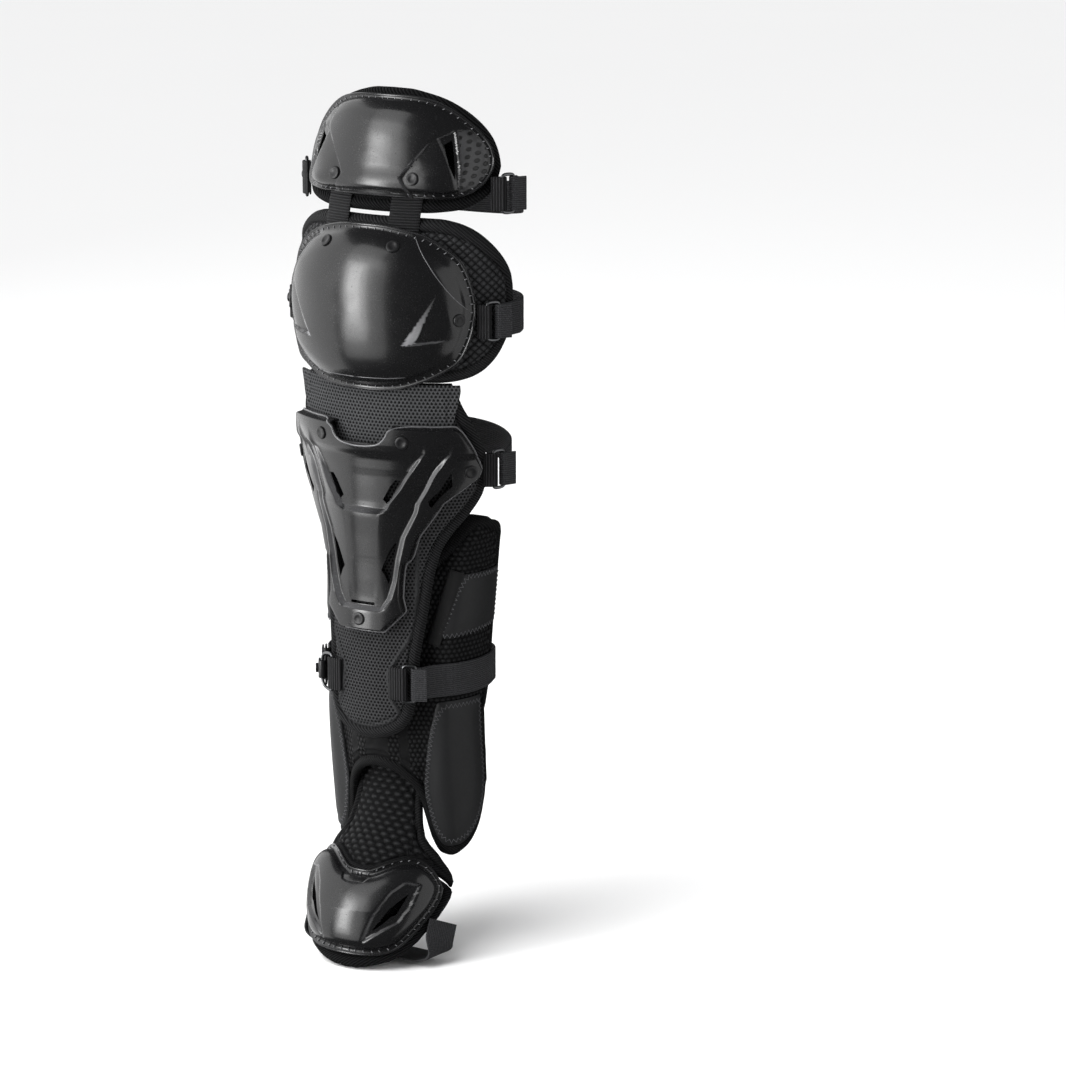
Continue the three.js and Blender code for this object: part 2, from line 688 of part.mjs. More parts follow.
// Shin shell: a raised frame round two sunken panels, the upper one inside the arms of the lower one.
// Half widths are shares of shinShellHalf, dips are shares of shinStep.
const shinShellRows = [
  { up: 0, reach: 0.19, half: 0.05, inner: 0.09, outer: 0.12, dipInner: 0, dipMiddle: 0, dipOuter: 0 },
  { up: 0.03, reach: 0.24, half: 0.05, inner: 0.1, outer: 0.14, dipInner: 0, dipMiddle: 0, dipOuter: 0 },
  { up: 0.105, reach: 0.368, half: 0.05, inner: 0.1, outer: 0.155, dipInner: 0, dipMiddle: 0, dipOuter: 0 },
  { up: 0.125, reach: 0.36, half: 0.05, inner: 0.1, outer: 0.175, dipInner: 1, dipMiddle: 1, dipOuter: 1 },
  { up: 0.17, reach: 0.342, half: 0.05, inner: 0.1, outer: 0.225, dipInner: 0.95, dipMiddle: 0.9, dipOuter: 0.95 },
  { up: 0.25, reach: 0.346, half: 0.05, inner: 0.11, outer: 0.264, dipInner: 0.75, dipMiddle: 0.75, dipOuter: 0.9 },
  { up: 0.335, reach: 0.363, half: 0.05, inner: 0.11, outer: 0.286, dipInner: 0.6, dipMiddle: 0.6, dipOuter: 0.8 },
  { up: 0.36, reach: 0.418, half: 0.05, inner: 0.11, outer: 0.292, dipInner: 0.55, dipMiddle: 0.55, dipOuter: 0.8 },
  { up: 0.47, reach: 0.48, half: 0.06, inner: 0.12, outer: 0.335, dipInner: 0.3, dipMiddle: 0.3, dipOuter: 0.7 },
  { up: 0.575, reach: 0.61, half: 0.07, inner: 0.145, outer: 0.423, dipInner: 0, dipMiddle: 0, dipOuter: 0.6 },
  { up: 0.6, reach: 0.645, half: 0.1, inner: 0.2, outer: 0.44, dipInner: 1, dipMiddle: 0, dipOuter: 0.6 },
  { up: 0.63, reach: 0.675, half: 0.11, inner: 0.225, outer: 0.45, dipInner: 1, dipMiddle: 0, dipOuter: 0.7 },
  { up: 0.7, reach: 0.85, half: 0.155, inner: 0.315, outer: 0.52, dipInner: 0.85, dipMiddle: 0, dipOuter: 0.85 },
  { up: 0.755, reach: 0.98, half: 0.185, inner: 0.37, outer: 0.565, dipInner: 0.75, dipMiddle: 0, dipOuter: 0.85 },
  { up: 0.79, reach: 1, half: 0.205, inner: 0.41, outer: 0.6, dipInner: 0.6, dipMiddle: 0, dipOuter: 0.75 },
  { up: 0.875, reach: 0.935, half: 0.255, inner: 0.51, outer: 0.71, dipInner: 0.25, dipMiddle: 0, dipOuter: 0.3 },
  { up: 0.91, reach: 0.905, half: 0.19, inner: 0.245, outer: 0.7, dipInner: 0, dipMiddle: 0, dipOuter: 0.05 },
  { up: 0.97, reach: 0.845, half: 0.27, inner: 0.31, outer: 0.65, dipInner: 0, dipMiddle: 0, dipOuter: 0 },
  { up: 1, reach: 0.79, half: 0.28, inner: 0.32, outer: 0.6, dipInner: 0, dipMiddle: 0, dipOuter: 0 },
];
const notchUp = 0.9;
function shinShellColumns(row) {
  const reach = row.reach * shinShellHalf;
  const inner = row.inner * shinShellHalf;
  const outer = row.outer * shinShellHalf;
  const floor = row.up > notchUp ? -shinRise : -row.dipInner * shinStep;
  const middle = -row.dipMiddle * shinStep;
  const low = -row.dipOuter * shinStep;
  const rimmed = row.up === 0 || row.up === 1;
  const columns = [
    { s: 0, rise: floor },
    { s: row.half * shinShellHalf, rise: floor },
    { s: inner, rise: row.up > notchUp ? 0 : floor },
    { s: Math.min(inner + bevelWidth, mix(inner, outer, 0.4)), rise: middle },
    { s: mix(inner + bevelWidth, outer, 0.55), rise: mix(middle, low, 0.55) },
    { s: outer, rise: low },
    { s: Math.min(outer + bevelWidth, mix(outer, reach, 0.5)), rise: 0 },
    { s: reach - bevelWidth, rise: 0 },
    { s: reach, rise: -shinRise },
  ];
  return columns.map(({ s, rise }) => ({ s, rise: rimmed ? 0 : shinRise + rise }));
}
const shinShellTable = shinShellRows.map((row) => ({
  z: shinShellLow + row.up * shinShellHeight,
  columns: shinShellColumns(row),
}));
const shinShellNet = shinShellTable.map(({ z, columns }) => {
  const right = columns.map(({ s }) => [s, z]);
  return [...mirrored(right.slice(1)).reverse(), ...right];
});
function shinTop(s, z) {
  const heights = shinShellTable.map(({ columns }) => {
    const across = columns.map((column) => column.s);
    return straight(across, columns.map((column) => column.rise))(Math.abs(s));
  });
  return shellSeat(s, z) + shellWall + straight(shinShellTable.map((row) => row.z), heights)(z);
}
const shinPlace = ([across, up]) => [across * shinShellHalf, shinShellLow + up * shinShellHeight];
const shinVents = [
  [[0.34, 0.739], [0.297, 0.742], [0.187, 0.643], [0.22, 0.624]],
  [[0.736, 0.783], [0.736, 0.714], [0.571, 0.615], [0.549, 0.646]],
  [[0.297, 0.447], [0.17, 0.302], [0.23, 0.239]],
].map((vent) => vent.map(shinPlace));
const shinSlot = [[-0.11, 0.128], [0.11, 0.128], [0.11, 0.142], [-0.11, 0.142]].map(shinPlace);
const shinNotch = [[-0.17, 0.91], [0.17, 0.91], [0.275, 0.985], [0.275, 1.1], [-0.275, 1.1], [-0.275, 0.985]].map(shinPlace);
const shinRivets = [
  { name: "shin_rivet_top_outer", across: -0.37, up: 0.93 },
  { name: "shin_rivet_top_inner", across: 0.37, up: 0.93 },
  { name: "shin_rivet_side_outer", across: -0.885, up: 0.785 },
  { name: "shin_rivet_side_inner", across: 0.885, up: 0.785 },
  { name: "shin_rivet_bottom", across: 0, up: 0.062 },
].map((row) => ({ name: row.name, frame: slopeFrame(onLeg, ...shinPlace([row.across, row.up]), shinTop) }));
const shinCuts = [shinSlot, shinNotch, ...shinVents.flatMap(onBothSides)].map((outline) => cutThrough(onLeg, outline));
const shinBody = sheetSolid(onLeg, shinShellNet, shinTop, (s, z) => shinTop(s, z) - shellWall);
addPiece("shin_shell", subtract(shinBody, [...shinCuts, ...shinRivets.map(({ frame }) => rivetHole(frame))]), glossShell);
shinRivets.forEach(({ name, frame }) => addPiece(name, rivetGeometry(frame), blackPlastic));

// Liner: one padded sheet behind the shin pad, arched over the instep, with wings round calf and ankle
const linerColumns = [
  { across: 0, low: 0, high: 0.767 },
  { across: 0.11, low: -0.012, high: 0.767 },
  { across: 0.206, low: -0.045, high: 0.767 },
  { across: 0.298, low: -0.109, high: 0.771 },
  { across: 0.328, low: -0.179, high: 0.781 },
  { across: 0.374, low: -0.289, high: 0.806 },
  { across: 0.427, low: -0.343, high: 0.836 },
  { across: 0.489, low: -0.353, high: 0.876 },
  { across: 0.588, low: -0.328, high: 0.94 },
  { across: 0.702, low: -0.259, high: 0.995 },
  { across: 0.794, low: -0.149, high: 0.985 },
  { across: 0.828, low: -0.08, high: 0.974 },
  { across: 0.8435, low: 0.174, high: 0.968 },
  { across: 0.9, low: 0.234, high: 0.958 },
  { across: 0.954, low: 0.299, high: 0.94 },
  { across: 1, low: 0.378, high: 0.905 },
];
const linerLength = linerTop - linerArch;
const ankleHalf = 0.425 * shinPadHalf;
function linerFace(s, z) {
  const start = Math.max(shinPadEdge(z), ankleHalf);
  const flare = mix(ankleFlare, calfFlare, ease(z, linerArch, linerTop));
  return -padThickness - seat + flare * ease(Math.abs(s), start + 1, start + flareReach);
}
const linerNet = padNet(sized(linerColumns, linerHalf, linerArch, linerLength), [0, 0.06, 0.35, 0.65, 0.94, 1]);
const linerEdgeRound = 0.3 * linerThickness;
const lastLinerRow = linerNet.length - 1;
const linerEdge = (i, j) => i === 0 || j === 0 || i === lastLinerRow || j === linerNet[0].length - 1;
const liner = sheetSolid(
  onLeg,
  linerNet,
  (s, z, i, j) => linerFace(s, z) - (linerEdge(i, j) ? linerEdgeRound : 0),
  (s, z, i, j) => linerFace(s, z) - linerThickness + (linerEdge(i, j) ? linerEdgeRound : 0),
);
addPiece("liner", liner, padCloth);

// Smooth panels sewn on the wings
const calfPanelColumns = [
  { across: 0.46, low: 0.53, high: 0.55 },
  { across: 0.53, low: 0.532, high: 0.66 },
  { across: 0.6, low: 0.536, high: 0.772 },
  { across: 0.69, low: 0.54, high: 0.772 },
  { across: 0.78, low: 0.545, high: 0.772 },
  { across: 0.87, low: 0.55, high: 0.772 },
  { across: 0.945, low: 0.555, high: 0.772 },
];
const anklePanelColumns = [
  { across: 0.345, low: -0.11, high: -0.05 },
  { across: 0.385, low: -0.24, high: 0.1 },
  { across: 0.43, low: -0.3, high: 0.21 },
  { across: 0.46, low: -0.31, high: 0.275 },
  { across: 0.535, low: -0.305, high: 0.28 },
  { across: 0.61, low: -0.28, high: 0.28 },
  { across: 0.69, low: -0.225, high: 0.28 },
  { across: 0.75, low: -0.15, high: 0.28 },
  { across: 0.785, low: -0.05, high: 0.28 },
];
function addPanel(name, columns, sign) {
  const net = sized(columns, linerHalf, linerArch, linerLength).map((column) =>
    [0, 0.33, 0.66, 1].map((share) => [sign * column.across, mix(column.low, column.high, share)]),
  );
  const face = (s, z) => linerFace(s, z) + 2 * seat;
  addPiece(name, sheetSolid(onLeg, net, (s, z) => face(s, z) + panelThickness, face), panelFilm);
}
sideNames.forEach(({ side, sign }) => {
  addPanel(`calf_panel_${side}`, calfPanelColumns, sign);
  addPanel(`ankle_panel_${side}`, anklePanelColumns, sign);
});

// Foot: the flap hangs inside the liner's arch and meets the toe pad along one line under the toe shell
const jointRows = [
  { across: 0, along: 0.567 },
  { across: 0.127, along: 0.56 },
  { across: 0.24, along: 0.527 },
  { across: 0.354, along: 0.486 },
  { across: 0.48, along: 0.452 },
  { across: 0.6, along: 0.45 },
  { across: 0.76, along: 0.456 },
  { across: 0.886, along: 0.461 },
  { across: 0.975, along: 0.479 },
  { across: 1, along: 0.514 },
];
const jointAt = straight(jointRows.map((row) => row.across * toePadHalf), jointRows.map((row) => row.along * footLength));
const flapColumns = [
  { across: 0, low: 0 },
  { across: 0.17, low: 0 },
  { across: 0.33, low: 0 },
  { across: 0.38, low: 0 },
  { across: 0.41, low: 0.2 },
  { across: 0.46, low: 0.29 },
  { across: 0.53, low: 0.33 },
  { across: 0.6, low: 0.35 },
  { across: 0.66, low: 0.36 },
  { across: 0.72, low: 0.37 },
  { across: 0.79, low: 0.385 },
  { across: 0.88, low: 0.4 },
  { across: 0.947, low: 0.415 },
  { across: 1, low: 0.44 },
];
const flapNet = padNet(
  flapColumns.map((row) => {
    const across = row.across * flapHalf;
    return { across, low: row.low * footLength, high: jointAt(across) };
  }),
  [0, 0.06, 0.3, 0.6, 0.94, 1],
);
const thinEdge = 0.3 * flapThickness;
function thinPad(net, thickness) {
  const lastRow = net.length - 1;
  const edge = (i, j) => (i === 0 || i === lastRow ? thinEdge : 0) || (j === 0 || j === net[0].length - 1 ? thinEdge : 0);
  return sheetSolid(onFoot, net, (a, b, i, j) => -edge(i, j), (a, b, i, j) => edge(i, j) - thickness);
}
addPiece("foot_flap", thinPad(flapNet, flapThickness), meshCloth);

const toePadColumns = [
  { across: 0, high: 0.998 },
  { across: 0.127, high: 0.995 },
  { across: 0.24, high: 0.985 },
  { across: 0.354, high: 0.969 },
  { across: 0.48, high: 0.945 },
  { across: 0.6, high: 0.903 },
  { across: 0.734, high: 0.834 },
  { across: 0.835, high: 0.757 },
  { across: 0.911, high: 0.686 },
  { across: 0.975, high: 0.609 },
  { across: 1, high: 0.563 },
];
const toePadNet = padNet(
  toePadColumns.map((row) => {
    const across = row.across * toePadHalf;
    return { across, low: jointAt(across) + 2 * seat, high: row.high * footLength };
  }),
  [0, 0.1, 0.5, 0.9, 1],
);
addPiece("toe_pad", thinPad(toePadNet, toePadThickness), padCloth);

// Toe shell: a dome with a dipped top edge and a long vent on each side
const toeOutlineRows = [
  { across: 0, up: 0.765 },
  { across: 0.15, up: 0.78 },
  { across: 0.28, up: 0.85 },
  { across: 0.42, up: 0.935 },
  { across: 0.57, up: 0.995 },
  { across: 0.71, up: 1 },
  { across: 0.865, up: 0.945 },
  { across: 0.98, up: 0.83 },
  { across: 1, up: 0.72 },
  { across: 0.965, up: 0.58 },
  { across: 0.865, up: 0.39 },
  { across: 0.75, up: 0.23 },
  { across: 0.61, up: 0.1 },
  { across: 0.42, up: 0.03 },
  { across: 0.21, up: 0.005 },
  { across: 0, up: 0 },
];
const toeShellLow = footLength - toePadMargin;
const toeOutline = capOutline(toeOutlineRows, toeShellHalf, toeShellLow, -toeShellLength, 24);
const toeMiddle = [0, toeShellLow - 0.42 * toeShellLength];
const toeSeat = () => seat;
const toeVent = [
  { across: 0.67, up: 0.71 },
  { across: 0.3, up: 0.19 },
  { across: 0.61, up: 0.47 },
].map((row) => [row.across * toeShellHalf, toeShellLow - row.up * toeShellLength]);
const toeShell = domeShell({
  place: onFoot,
  middle: toeMiddle,
  outline: toeOutline,
  dome: toeDome,
  seatAt: toeSeat,
  cuts: onBothSides(toeVent).map((vent) => cutThrough(onFoot, vent)),
});
addPiece("toe_shell", toeShell, glossShell);

// A flat band along a line: its width lies along a direction, its thickness across it
function bandSolid(line, acrossAt, width, thickness) {
  const corners = [];
  const rows = line.map((point, i) => {
    const run = line[Math.min(i + 1, line.length - 1)].clone().sub(line[Math.max(i - 1, 0)]);
    const across = acrossAt(i);
    const out = run.cross(across).normalize();
    const corner = (side, face) =>
      corners.push(point.clone().addScaledVector(across, (side * width) / 2).addScaledVector(out, (face * thickness) / 2)) - 1;
    return [corner(-1, -1), corner(1, -1), corner(1, 1), corner(-1, 1)];
  });
  const faces = [];
  weave(faces, rows, true);
  const [first, last] = [rows[0], rows.at(-1)];
  faces.push([first[0], first[2], first[1]], [first[0], first[3], first[2]]);
  faces.push([last[0], last[1], last[2]], [last[0], last[2], last[3]]);
  return closedMesh(corners, faces);
}

// Toe strap: sewn to the sides of the toe pad, down and under the sole
const toeStrapSide = 0.94 * toePadHalf;
const toeStrapTop = 0.7 * footLength;
const toeStrapLeave = 0.8 * footLength;
const soleDrop = 17; // from where the strap leaves the pad down to the sole
const toeStrapLift = seat + toeStrapThickness / 2;
const onToeSide = (sign, share) => onFoot(sign * toeStrapSide, mix(toeStrapTop, toeStrapLeave, share), toeStrapLift);
const sideLine = [0, 0.33, 0.66, 1].map((share) => onToeSide(1, share));
const leave = sideLine.at(-1);
const soleLine = [[0.98, 0.62], [0.82, 0.96], [0.4, 1], [0, 1]].map(
  ([across, down]) => new THREE.Vector3(across * leave.x, leave.y + 2 * down, leave.z - soleDrop * down),
);
const rightLine = [...sideLine, ...soleLine];
const leftLine = rightLine.slice(0, -1).reverse().map((point) => new THREE.Vector3(-point.x, point.y, point.z));
const toeStrapLine = new THREE.CatmullRomCurve3([...rightLine, ...leftLine], false, "centripetal").getSpacedPoints(22);
const sideAcross = onFoot(toeStrapSide + 1, toeStrapTop, 0).sub(onFoot(toeStrapSide - 1, toeStrapTop, 0)).normalize();
function toeStrapAcross(i) {
  const point = toeStrapLine[i];
  const share = ease(point.z, leave.z - soleDrop, leave.z + 2);
  const across = new THREE.Vector3(0, 1, 0).lerp(sideAcross, share);
  across.x *= Math.sign(point.x);
  return across.normalize();
}
addPiece("toe_strap", bandSolid(toeStrapLine, toeStrapAcross, strapWidth, toeStrapThickness), elastic);

// Leg straps. On the inner side a webbing tab holds a slide and the strap loops through it; on the
// outer side a tab holds a wire ring, and the strap's hook is caught on the ring. Each row gives the
// strap's level, how far it climbs behind the leg, where its tabs are sewn, their length, and the back.
const barGap = 2;
const slideReach = slideLength - slideFrame;
const slotHalf = strapWidth / 2 + fit;
const hookBar = hookLength - slideFrame / 2;
const straps = [
  {
    name: "thigh",
    level: thighPadBottom + 0.16 * thighPadLength,
    rise: -0.63 * strapWidth,
    root: 1.046 * thighShellHalf,
    tab: 0.315 * strapWidth,
    back: 1.26 * sideRadius,
    last: 1.167 * thighPadHalf,
  },
  {
    name: "knee",
    level: kneePadBottom + 0.385 * kneePadLength,
    rise: 0,
    root: 1.011 * kneeShellHalf,
    tab: 0.276 * strapWidth,
    back: 1.065 * sideRadius,
    last: 1.016 * kneePadHalf,
  },
  {
    name: "calf",
    level: shinPadBottom + 0.757 * shinPadLength,
    rise: 0.35 * strapWidth,
    root: 1.011 * shinShellHalf,
    tab: 0.315 * strapWidth,
    back: 1.1 * sideRadius,
    last: 1.12 * shinPadHalf,
  },
  {
    name: "ankle",
    level: shinPadBottom + 0.17 * shinPadLength,
    rise: -0.08 * strapWidth,
    root: 0.21 * shinPadHalf,
    tab: 0.433 * strapWidth,
    back: 1.03 * sideRadius,
    last: 1.267 * shinPadHalf,
  },
];
const up = new THREE.Vector3(0, 0, 1);
const upward = () => up;

// What a strap lies on: the pads, and below the calf the liner's wings
function strapGround(s, z) {
  const reach = Math.abs(s);
  return mix(0, linerFace(s, z), ease(reach, shinPadEdge(z) + 1, shinPadEdge(z) + 22) * (z < linerTop - 40 ? 1 : 0));
}
function lineFrame(from, to, sign) {
  const along = to.clone().sub(from).normalize();
  const rise = up.clone().multiplyScalar(sign);
  const out = along.clone().cross(rise).normalize();
  const frame = new THREE.Matrix4().makeBasis(along, out.clone().cross(along), out);
  return frame.setPosition(from);
}
const inFrame = (frame, u, v, w) => new THREE.Vector3(u, v, w).applyMatrix4(frame);

// A loop of webbing round a bar at the frame's origin, its two layers leaving towards one side
function tabLine(frame, length) {
  const r = barGap + tabThickness / 2;
  const turn = [0, 0.25, 0.5, 0.75, 1].map((share) => share * Math.PI);
  const bend = turn.map((angle) => [r * Math.sin(angle), -r * Math.cos(angle)]);
  const spots = [[-length, -r], [-0.4 * length, -r], ...bend, [-0.45 * length, 0.55 * r], [-length, tabThickness + fit - r]];
  return spots.map(([u, w]) => inFrame(frame, u, 0, w));
}
function strapEnd(frame, bar, low) {
  const r = barGap + strapThickness / 2;
  const bend = [0, 0.25, 0.5, 0.75, 1].map((share) => share * Math.PI);
  const turned = bend.map((angle) => [bar - r * Math.sin(angle), low + r * Math.cos(angle)]);
  const spots = [[bar + tailLength, low + r], [bar + tailLength / 2, low + r], ...turned, [bar + 4, low - r]];
  return spots.map(([u, w]) => inFrame(frame, u, 0, w));
}

// Slide: a flat frame with one slot
function slideGeometry() {
  const half = slotHalf + slideFrame;
  const plate = new THREE.Shape();
  plate.moveTo(-slideFrame / 2, -half);
  plate.lineTo(slideReach + slideFrame / 2, -half);
  plate.lineTo(slideReach + slideFrame / 2, half);
  plate.lineTo(-slideFrame / 2, half);
  const slot = new THREE.Path();
  slot.moveTo(slideFrame / 2, -slotHalf);
  slot.lineTo(slideFrame / 2, slotHalf);
  slot.lineTo(slideReach - slideFrame / 2, slotHalf);
  slot.lineTo(slideReach - slideFrame / 2, -slotHalf);
  plate.holes.push(slot);
  const body = new THREE.ExtrudeGeometry(plate, { depth: slideWall, bevelEnabled: false });
  return body.translate(0, 0, -slideWall / 2);
}

// Ring: one wire bent to a D, its straight side in the tab
function ringGeometry() {
  const half = slotHalf + wireRadius;
  const rightBow = [[0, 1], [0.55, 0.98], [0.87, 0.84], [1, 0.58]];
  const bow = [...rightBow, ...[...rightBow].reverse().map(([out, across]) => [out, -across])];
  const line = bow.map(([out, across]) => new THREE.Vector3(out * ringBow, across * half, 0));
  const wireSides = [0, 1, 2, 3, 4].map((i) => (i / 5) * 2 * Math.PI);
  const corners = [];
  const rows = line.map((point, i) => {
    const next = line[(i + 1) % line.length];
    const last = line[(i + line.length - 1) % line.length];
    const out = next.clone().sub(last).normalize().cross(up).negate();
    const ringOf = (angle) => point.clone().addScaledVector(out, wireRadius * Math.cos(angle)).addScaledVector(up, wireRadius * Math.sin(angle));
    return wireSides.map((angle) => corners.push(ringOf(angle)) - 1);
  });
  const faces = [];
  weave(faces, [...rows, rows[0]], true);
  return closedMesh(corners, faces);
}

// Hook: a plate whose front curls over the ring's wire, with a slotted end for the strap and a rivet
function hookGeometry() {
  const near = wireRadius + fit;
  const far = near + hookWall;
  const curl = new THREE.Shape();
  const turn = [0.5, 0.75, 1, 1.25, 1.5].map((share) => share * Math.PI);
  curl.moveTo(8, near);
  curl.lineTo(8, far);
  turn.forEach((angle) => curl.lineTo(far * Math.cos(angle), far * Math.sin(angle)));
  curl.lineTo(8, -far);
  curl.lineTo(8, -near);
  [...turn].reverse().forEach((angle) => curl.lineTo(near * Math.cos(angle), near * Math.sin(angle)));
  const curlBody = new THREE.ExtrudeGeometry(curl, { depth: hookWidth, bevelEnabled: false });
  curlBody.translate(0, 0, -hookWidth / 2).rotateX(Math.PI / 2);
  const half = slotHalf + slideFrame;
  const plate = new THREE.Shape();
  plate.moveTo(6, -half + 5);
  plate.lineTo(9, -half);
  plate.lineTo(hookLength, -half);
  plate.lineTo(hookLength, half);
  plate.lineTo(9, half);
  plate.lineTo(6, half - 5);
  const slot = new THREE.Path();
  slot.moveTo(10, -slotHalf);
  slot.lineTo(10, slotHalf);
  slot.lineTo(hookLength - slideFrame, slotHalf);
  slot.lineTo(hookLength - slideFrame, -slotHalf);
  plate.holes.push(slot);
  const plateBody = new THREE.ExtrudeGeometry(plate, { depth: hookWall, bevelEnabled: false });
  plateBody.translate(0, 0, -far);
  const rivet = new THREE.CylinderGeometry(3.4, 4, 3, 6).rotateX(Math.PI / 2).translate(4, 0, far + 0.8);
  return join([curlBody, plateBody, rivet]);
}

function addStrap({ name, level, rise, root, tab, back, last }) {
  const tabRadius = barGap + tabThickness / 2;
  const barHeight = 3 * fit + tabThickness / 2 + tabRadius;
  const strapLift = 3 * seat + strapThickness / 2;
  const barAt = root + tab;
  const spot = (s, n) => onLeg(s, level, strapGround(s, level) + n);

  const slideFrameAt = lineFrame(spot(barAt, barHeight), spot(barAt + slideReach, barHeight + 1), 1);
  const slideTabFrame = lineFrame(spot(root, barHeight), spot(barAt, barHeight), 1).setPosition(spot(barAt, barHeight));
  addPiece(`${name}_slide_tab`, bandSolid(tabLine(slideTabFrame, tab), upward, strapWidth, tabThickness), webbing);
  addPiece(`${name}_slide`, slideGeometry(), bareWire).applyMatrix4(slideFrameAt);

  const ringFrame = lineFrame(spot(-barAt, barHeight), spot(-barAt - ringBow, barHeight + 3), -1);
  const ringTabFrame = lineFrame(spot(-root, barHeight), spot(-barAt, barHeight), -1).setPosition(spot(-barAt, barHeight));
  addPiece(`${name}_ring_tab`, bandSolid(tabLine(ringTabFrame, tab), upward, strapWidth, tabThickness), webbing);
  addPiece(`${name}_ring`, ringGeometry(), bareWire).applyMatrix4(ringFrame);

  const hookAt = barAt + ringBow + hookBar;
  const hookDrop = wireRadius + fit + hookWall / 2;
  const hookHeight = strapLift + barGap + strapThickness / 2 + hookDrop;
  const hookFrame = lineFrame(inFrame(ringFrame, ringBow, 0, 0), spot(-hookAt, hookHeight), -1);
  addPiece(`${name}_hook`, hookGeometry(), blackPlastic).applyMatrix4(hookFrame);

  const slideEnd = strapEnd(slideFrameAt, slideReach, 0);
  const hookEnd = strapEnd(hookFrame, hookBar, -hookDrop);
  const run = [];
  for (let s = barAt + slideReach + 10; s < last; s += 12) {
    run.push(spot(s, strapLift));
  }
  run.push(spot(last, strapLift));
  const from = run.at(-1);
  const otherRun = [];
  for (let s = hookAt + 10; s < last; s += 12) {
    otherRun.push(spot(-s, strapLift));
  }
  const backRows = [[0.93, 0.3], [0.78, 0.6], [0.48, 0.88], [0, 1]];
  const behind = backRows.map(([across, share]) => new THREE.Vector3(across * from.x, mix(from.y, back, share), level + rise * share));
  const behindOther = behind.slice(0, -1).reverse().map((point) => new THREE.Vector3(-point.x, point.y, point.z));
  const way = [slideEnd.at(-2), slideEnd.at(-1), ...run, ...behind, ...behindOther, ...otherRun.reverse(), hookEnd.at(-1), hookEnd.at(-2)];
  const curve = new THREE.CatmullRomCurve3(way, false, "centripetal");
  const smooth = curve.getSpacedPoints(18).slice(1, -1);
  const line = [...slideEnd.slice(0, -1), ...smooth, ...hookEnd.slice(0, -1).reverse()];
  addPiece(`${name}_strap`, bandSolid(line, upward, strapWidth, strapThickness), elastic);
}
straps.forEach(addStrap);

// The origin is behind the knee cap, on the face of the knee pad that rests against the knee
const kneeCentre = kneePadBottom + kneePadLength / 2;
const kneeRest = onLeg(0, kneeCentre, -padThickness);
guard.position.set(0, -kneeRest.y, -kneeRest.z);

export default guard;
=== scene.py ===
# Catcher's leg guard for the right leg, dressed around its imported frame.
# Sizes are millimetres; heights count from the floor. Pieces are placed in the frame in metres.
import math

import bpy
import numpy as np
from mathutils.kdtree import KDTree
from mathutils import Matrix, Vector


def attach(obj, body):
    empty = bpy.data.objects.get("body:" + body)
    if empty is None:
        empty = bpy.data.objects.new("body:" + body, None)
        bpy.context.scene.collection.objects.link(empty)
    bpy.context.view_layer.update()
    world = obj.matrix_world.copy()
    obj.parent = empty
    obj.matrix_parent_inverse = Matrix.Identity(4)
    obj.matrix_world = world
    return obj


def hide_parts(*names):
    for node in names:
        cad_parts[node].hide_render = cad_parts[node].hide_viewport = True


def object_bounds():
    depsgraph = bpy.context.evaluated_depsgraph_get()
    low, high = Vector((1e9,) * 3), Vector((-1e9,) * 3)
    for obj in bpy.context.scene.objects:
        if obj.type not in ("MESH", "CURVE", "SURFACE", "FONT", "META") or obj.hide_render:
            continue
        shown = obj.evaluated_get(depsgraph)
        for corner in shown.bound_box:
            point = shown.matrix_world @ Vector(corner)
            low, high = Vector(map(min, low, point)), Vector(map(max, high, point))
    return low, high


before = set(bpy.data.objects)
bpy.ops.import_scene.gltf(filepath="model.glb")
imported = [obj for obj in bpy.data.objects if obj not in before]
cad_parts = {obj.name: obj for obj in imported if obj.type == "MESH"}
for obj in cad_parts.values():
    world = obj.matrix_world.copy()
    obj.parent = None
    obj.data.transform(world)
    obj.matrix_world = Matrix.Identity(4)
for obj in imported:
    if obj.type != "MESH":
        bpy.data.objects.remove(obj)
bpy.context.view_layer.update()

# Thigh pad
# The cap-shaped foam pad above the knee, in a dark knitted cover with a rolled twill edge. It is sewn
# round its rim, and two webs carry it on the knee shell. Every piece below follows the same leg form.
THIGH_PAD_LOW = 579.3
THIGH_PAD_HEIGHT = 90
THIGH_PAD_HALF = 96
PAD_THICKNESS = 12
KNEE_CENTRE = 514.3
GUARD_HEIGHT = 669.3
TWILL_PITCH = 2.3
BOW_DEPTH = 57
FRONT_RADIUS = 112
FRONT_ARC = 89
SIDE_RADIUS = 62
SHARP_FOLD = math.radians(35)

leg_sections = np.array(
    [
        (0.09, 0.74, 0.64, 0.56, 0.97),
        (0.224, 0.93, 0.64, 0.56, 0.97),
        (0.3, 1.0, 0.61, 0.56, 1.0),
        (0.47, 0.93, 0.66, 0.7, 0.97),
        (0.598, 0.93, 0.875, 0.9, 0.97),
        (0.657, 0.91, 1.09, 0.92, 0.89),
        (0.687, 0.95, 1.07, 0.966, 0.81),
        (0.772, 0.965, 1.0, 1.0, 0.73),
        (0.874, 0.75, 0.98, 0.99, 0.74),
        (0.919, 0.49, 0.965, 0.966, 0.81),
        (0.971, 0.35, 0.94, 0.955, 0.89),
        (1.03, 0.25, 0.94, 0.955, 0.97),
    ],
    dtype=[("up", float), ("bow", float), ("front", float), ("arc", float), ("side", float)],
)


def ease(x, low, high):
    share = np.clip((x - low) / (high - low), 0, 1)
    return share * share * (3 - 2 * share)


def mix(a, b, share):
    return a + (b - a) * share


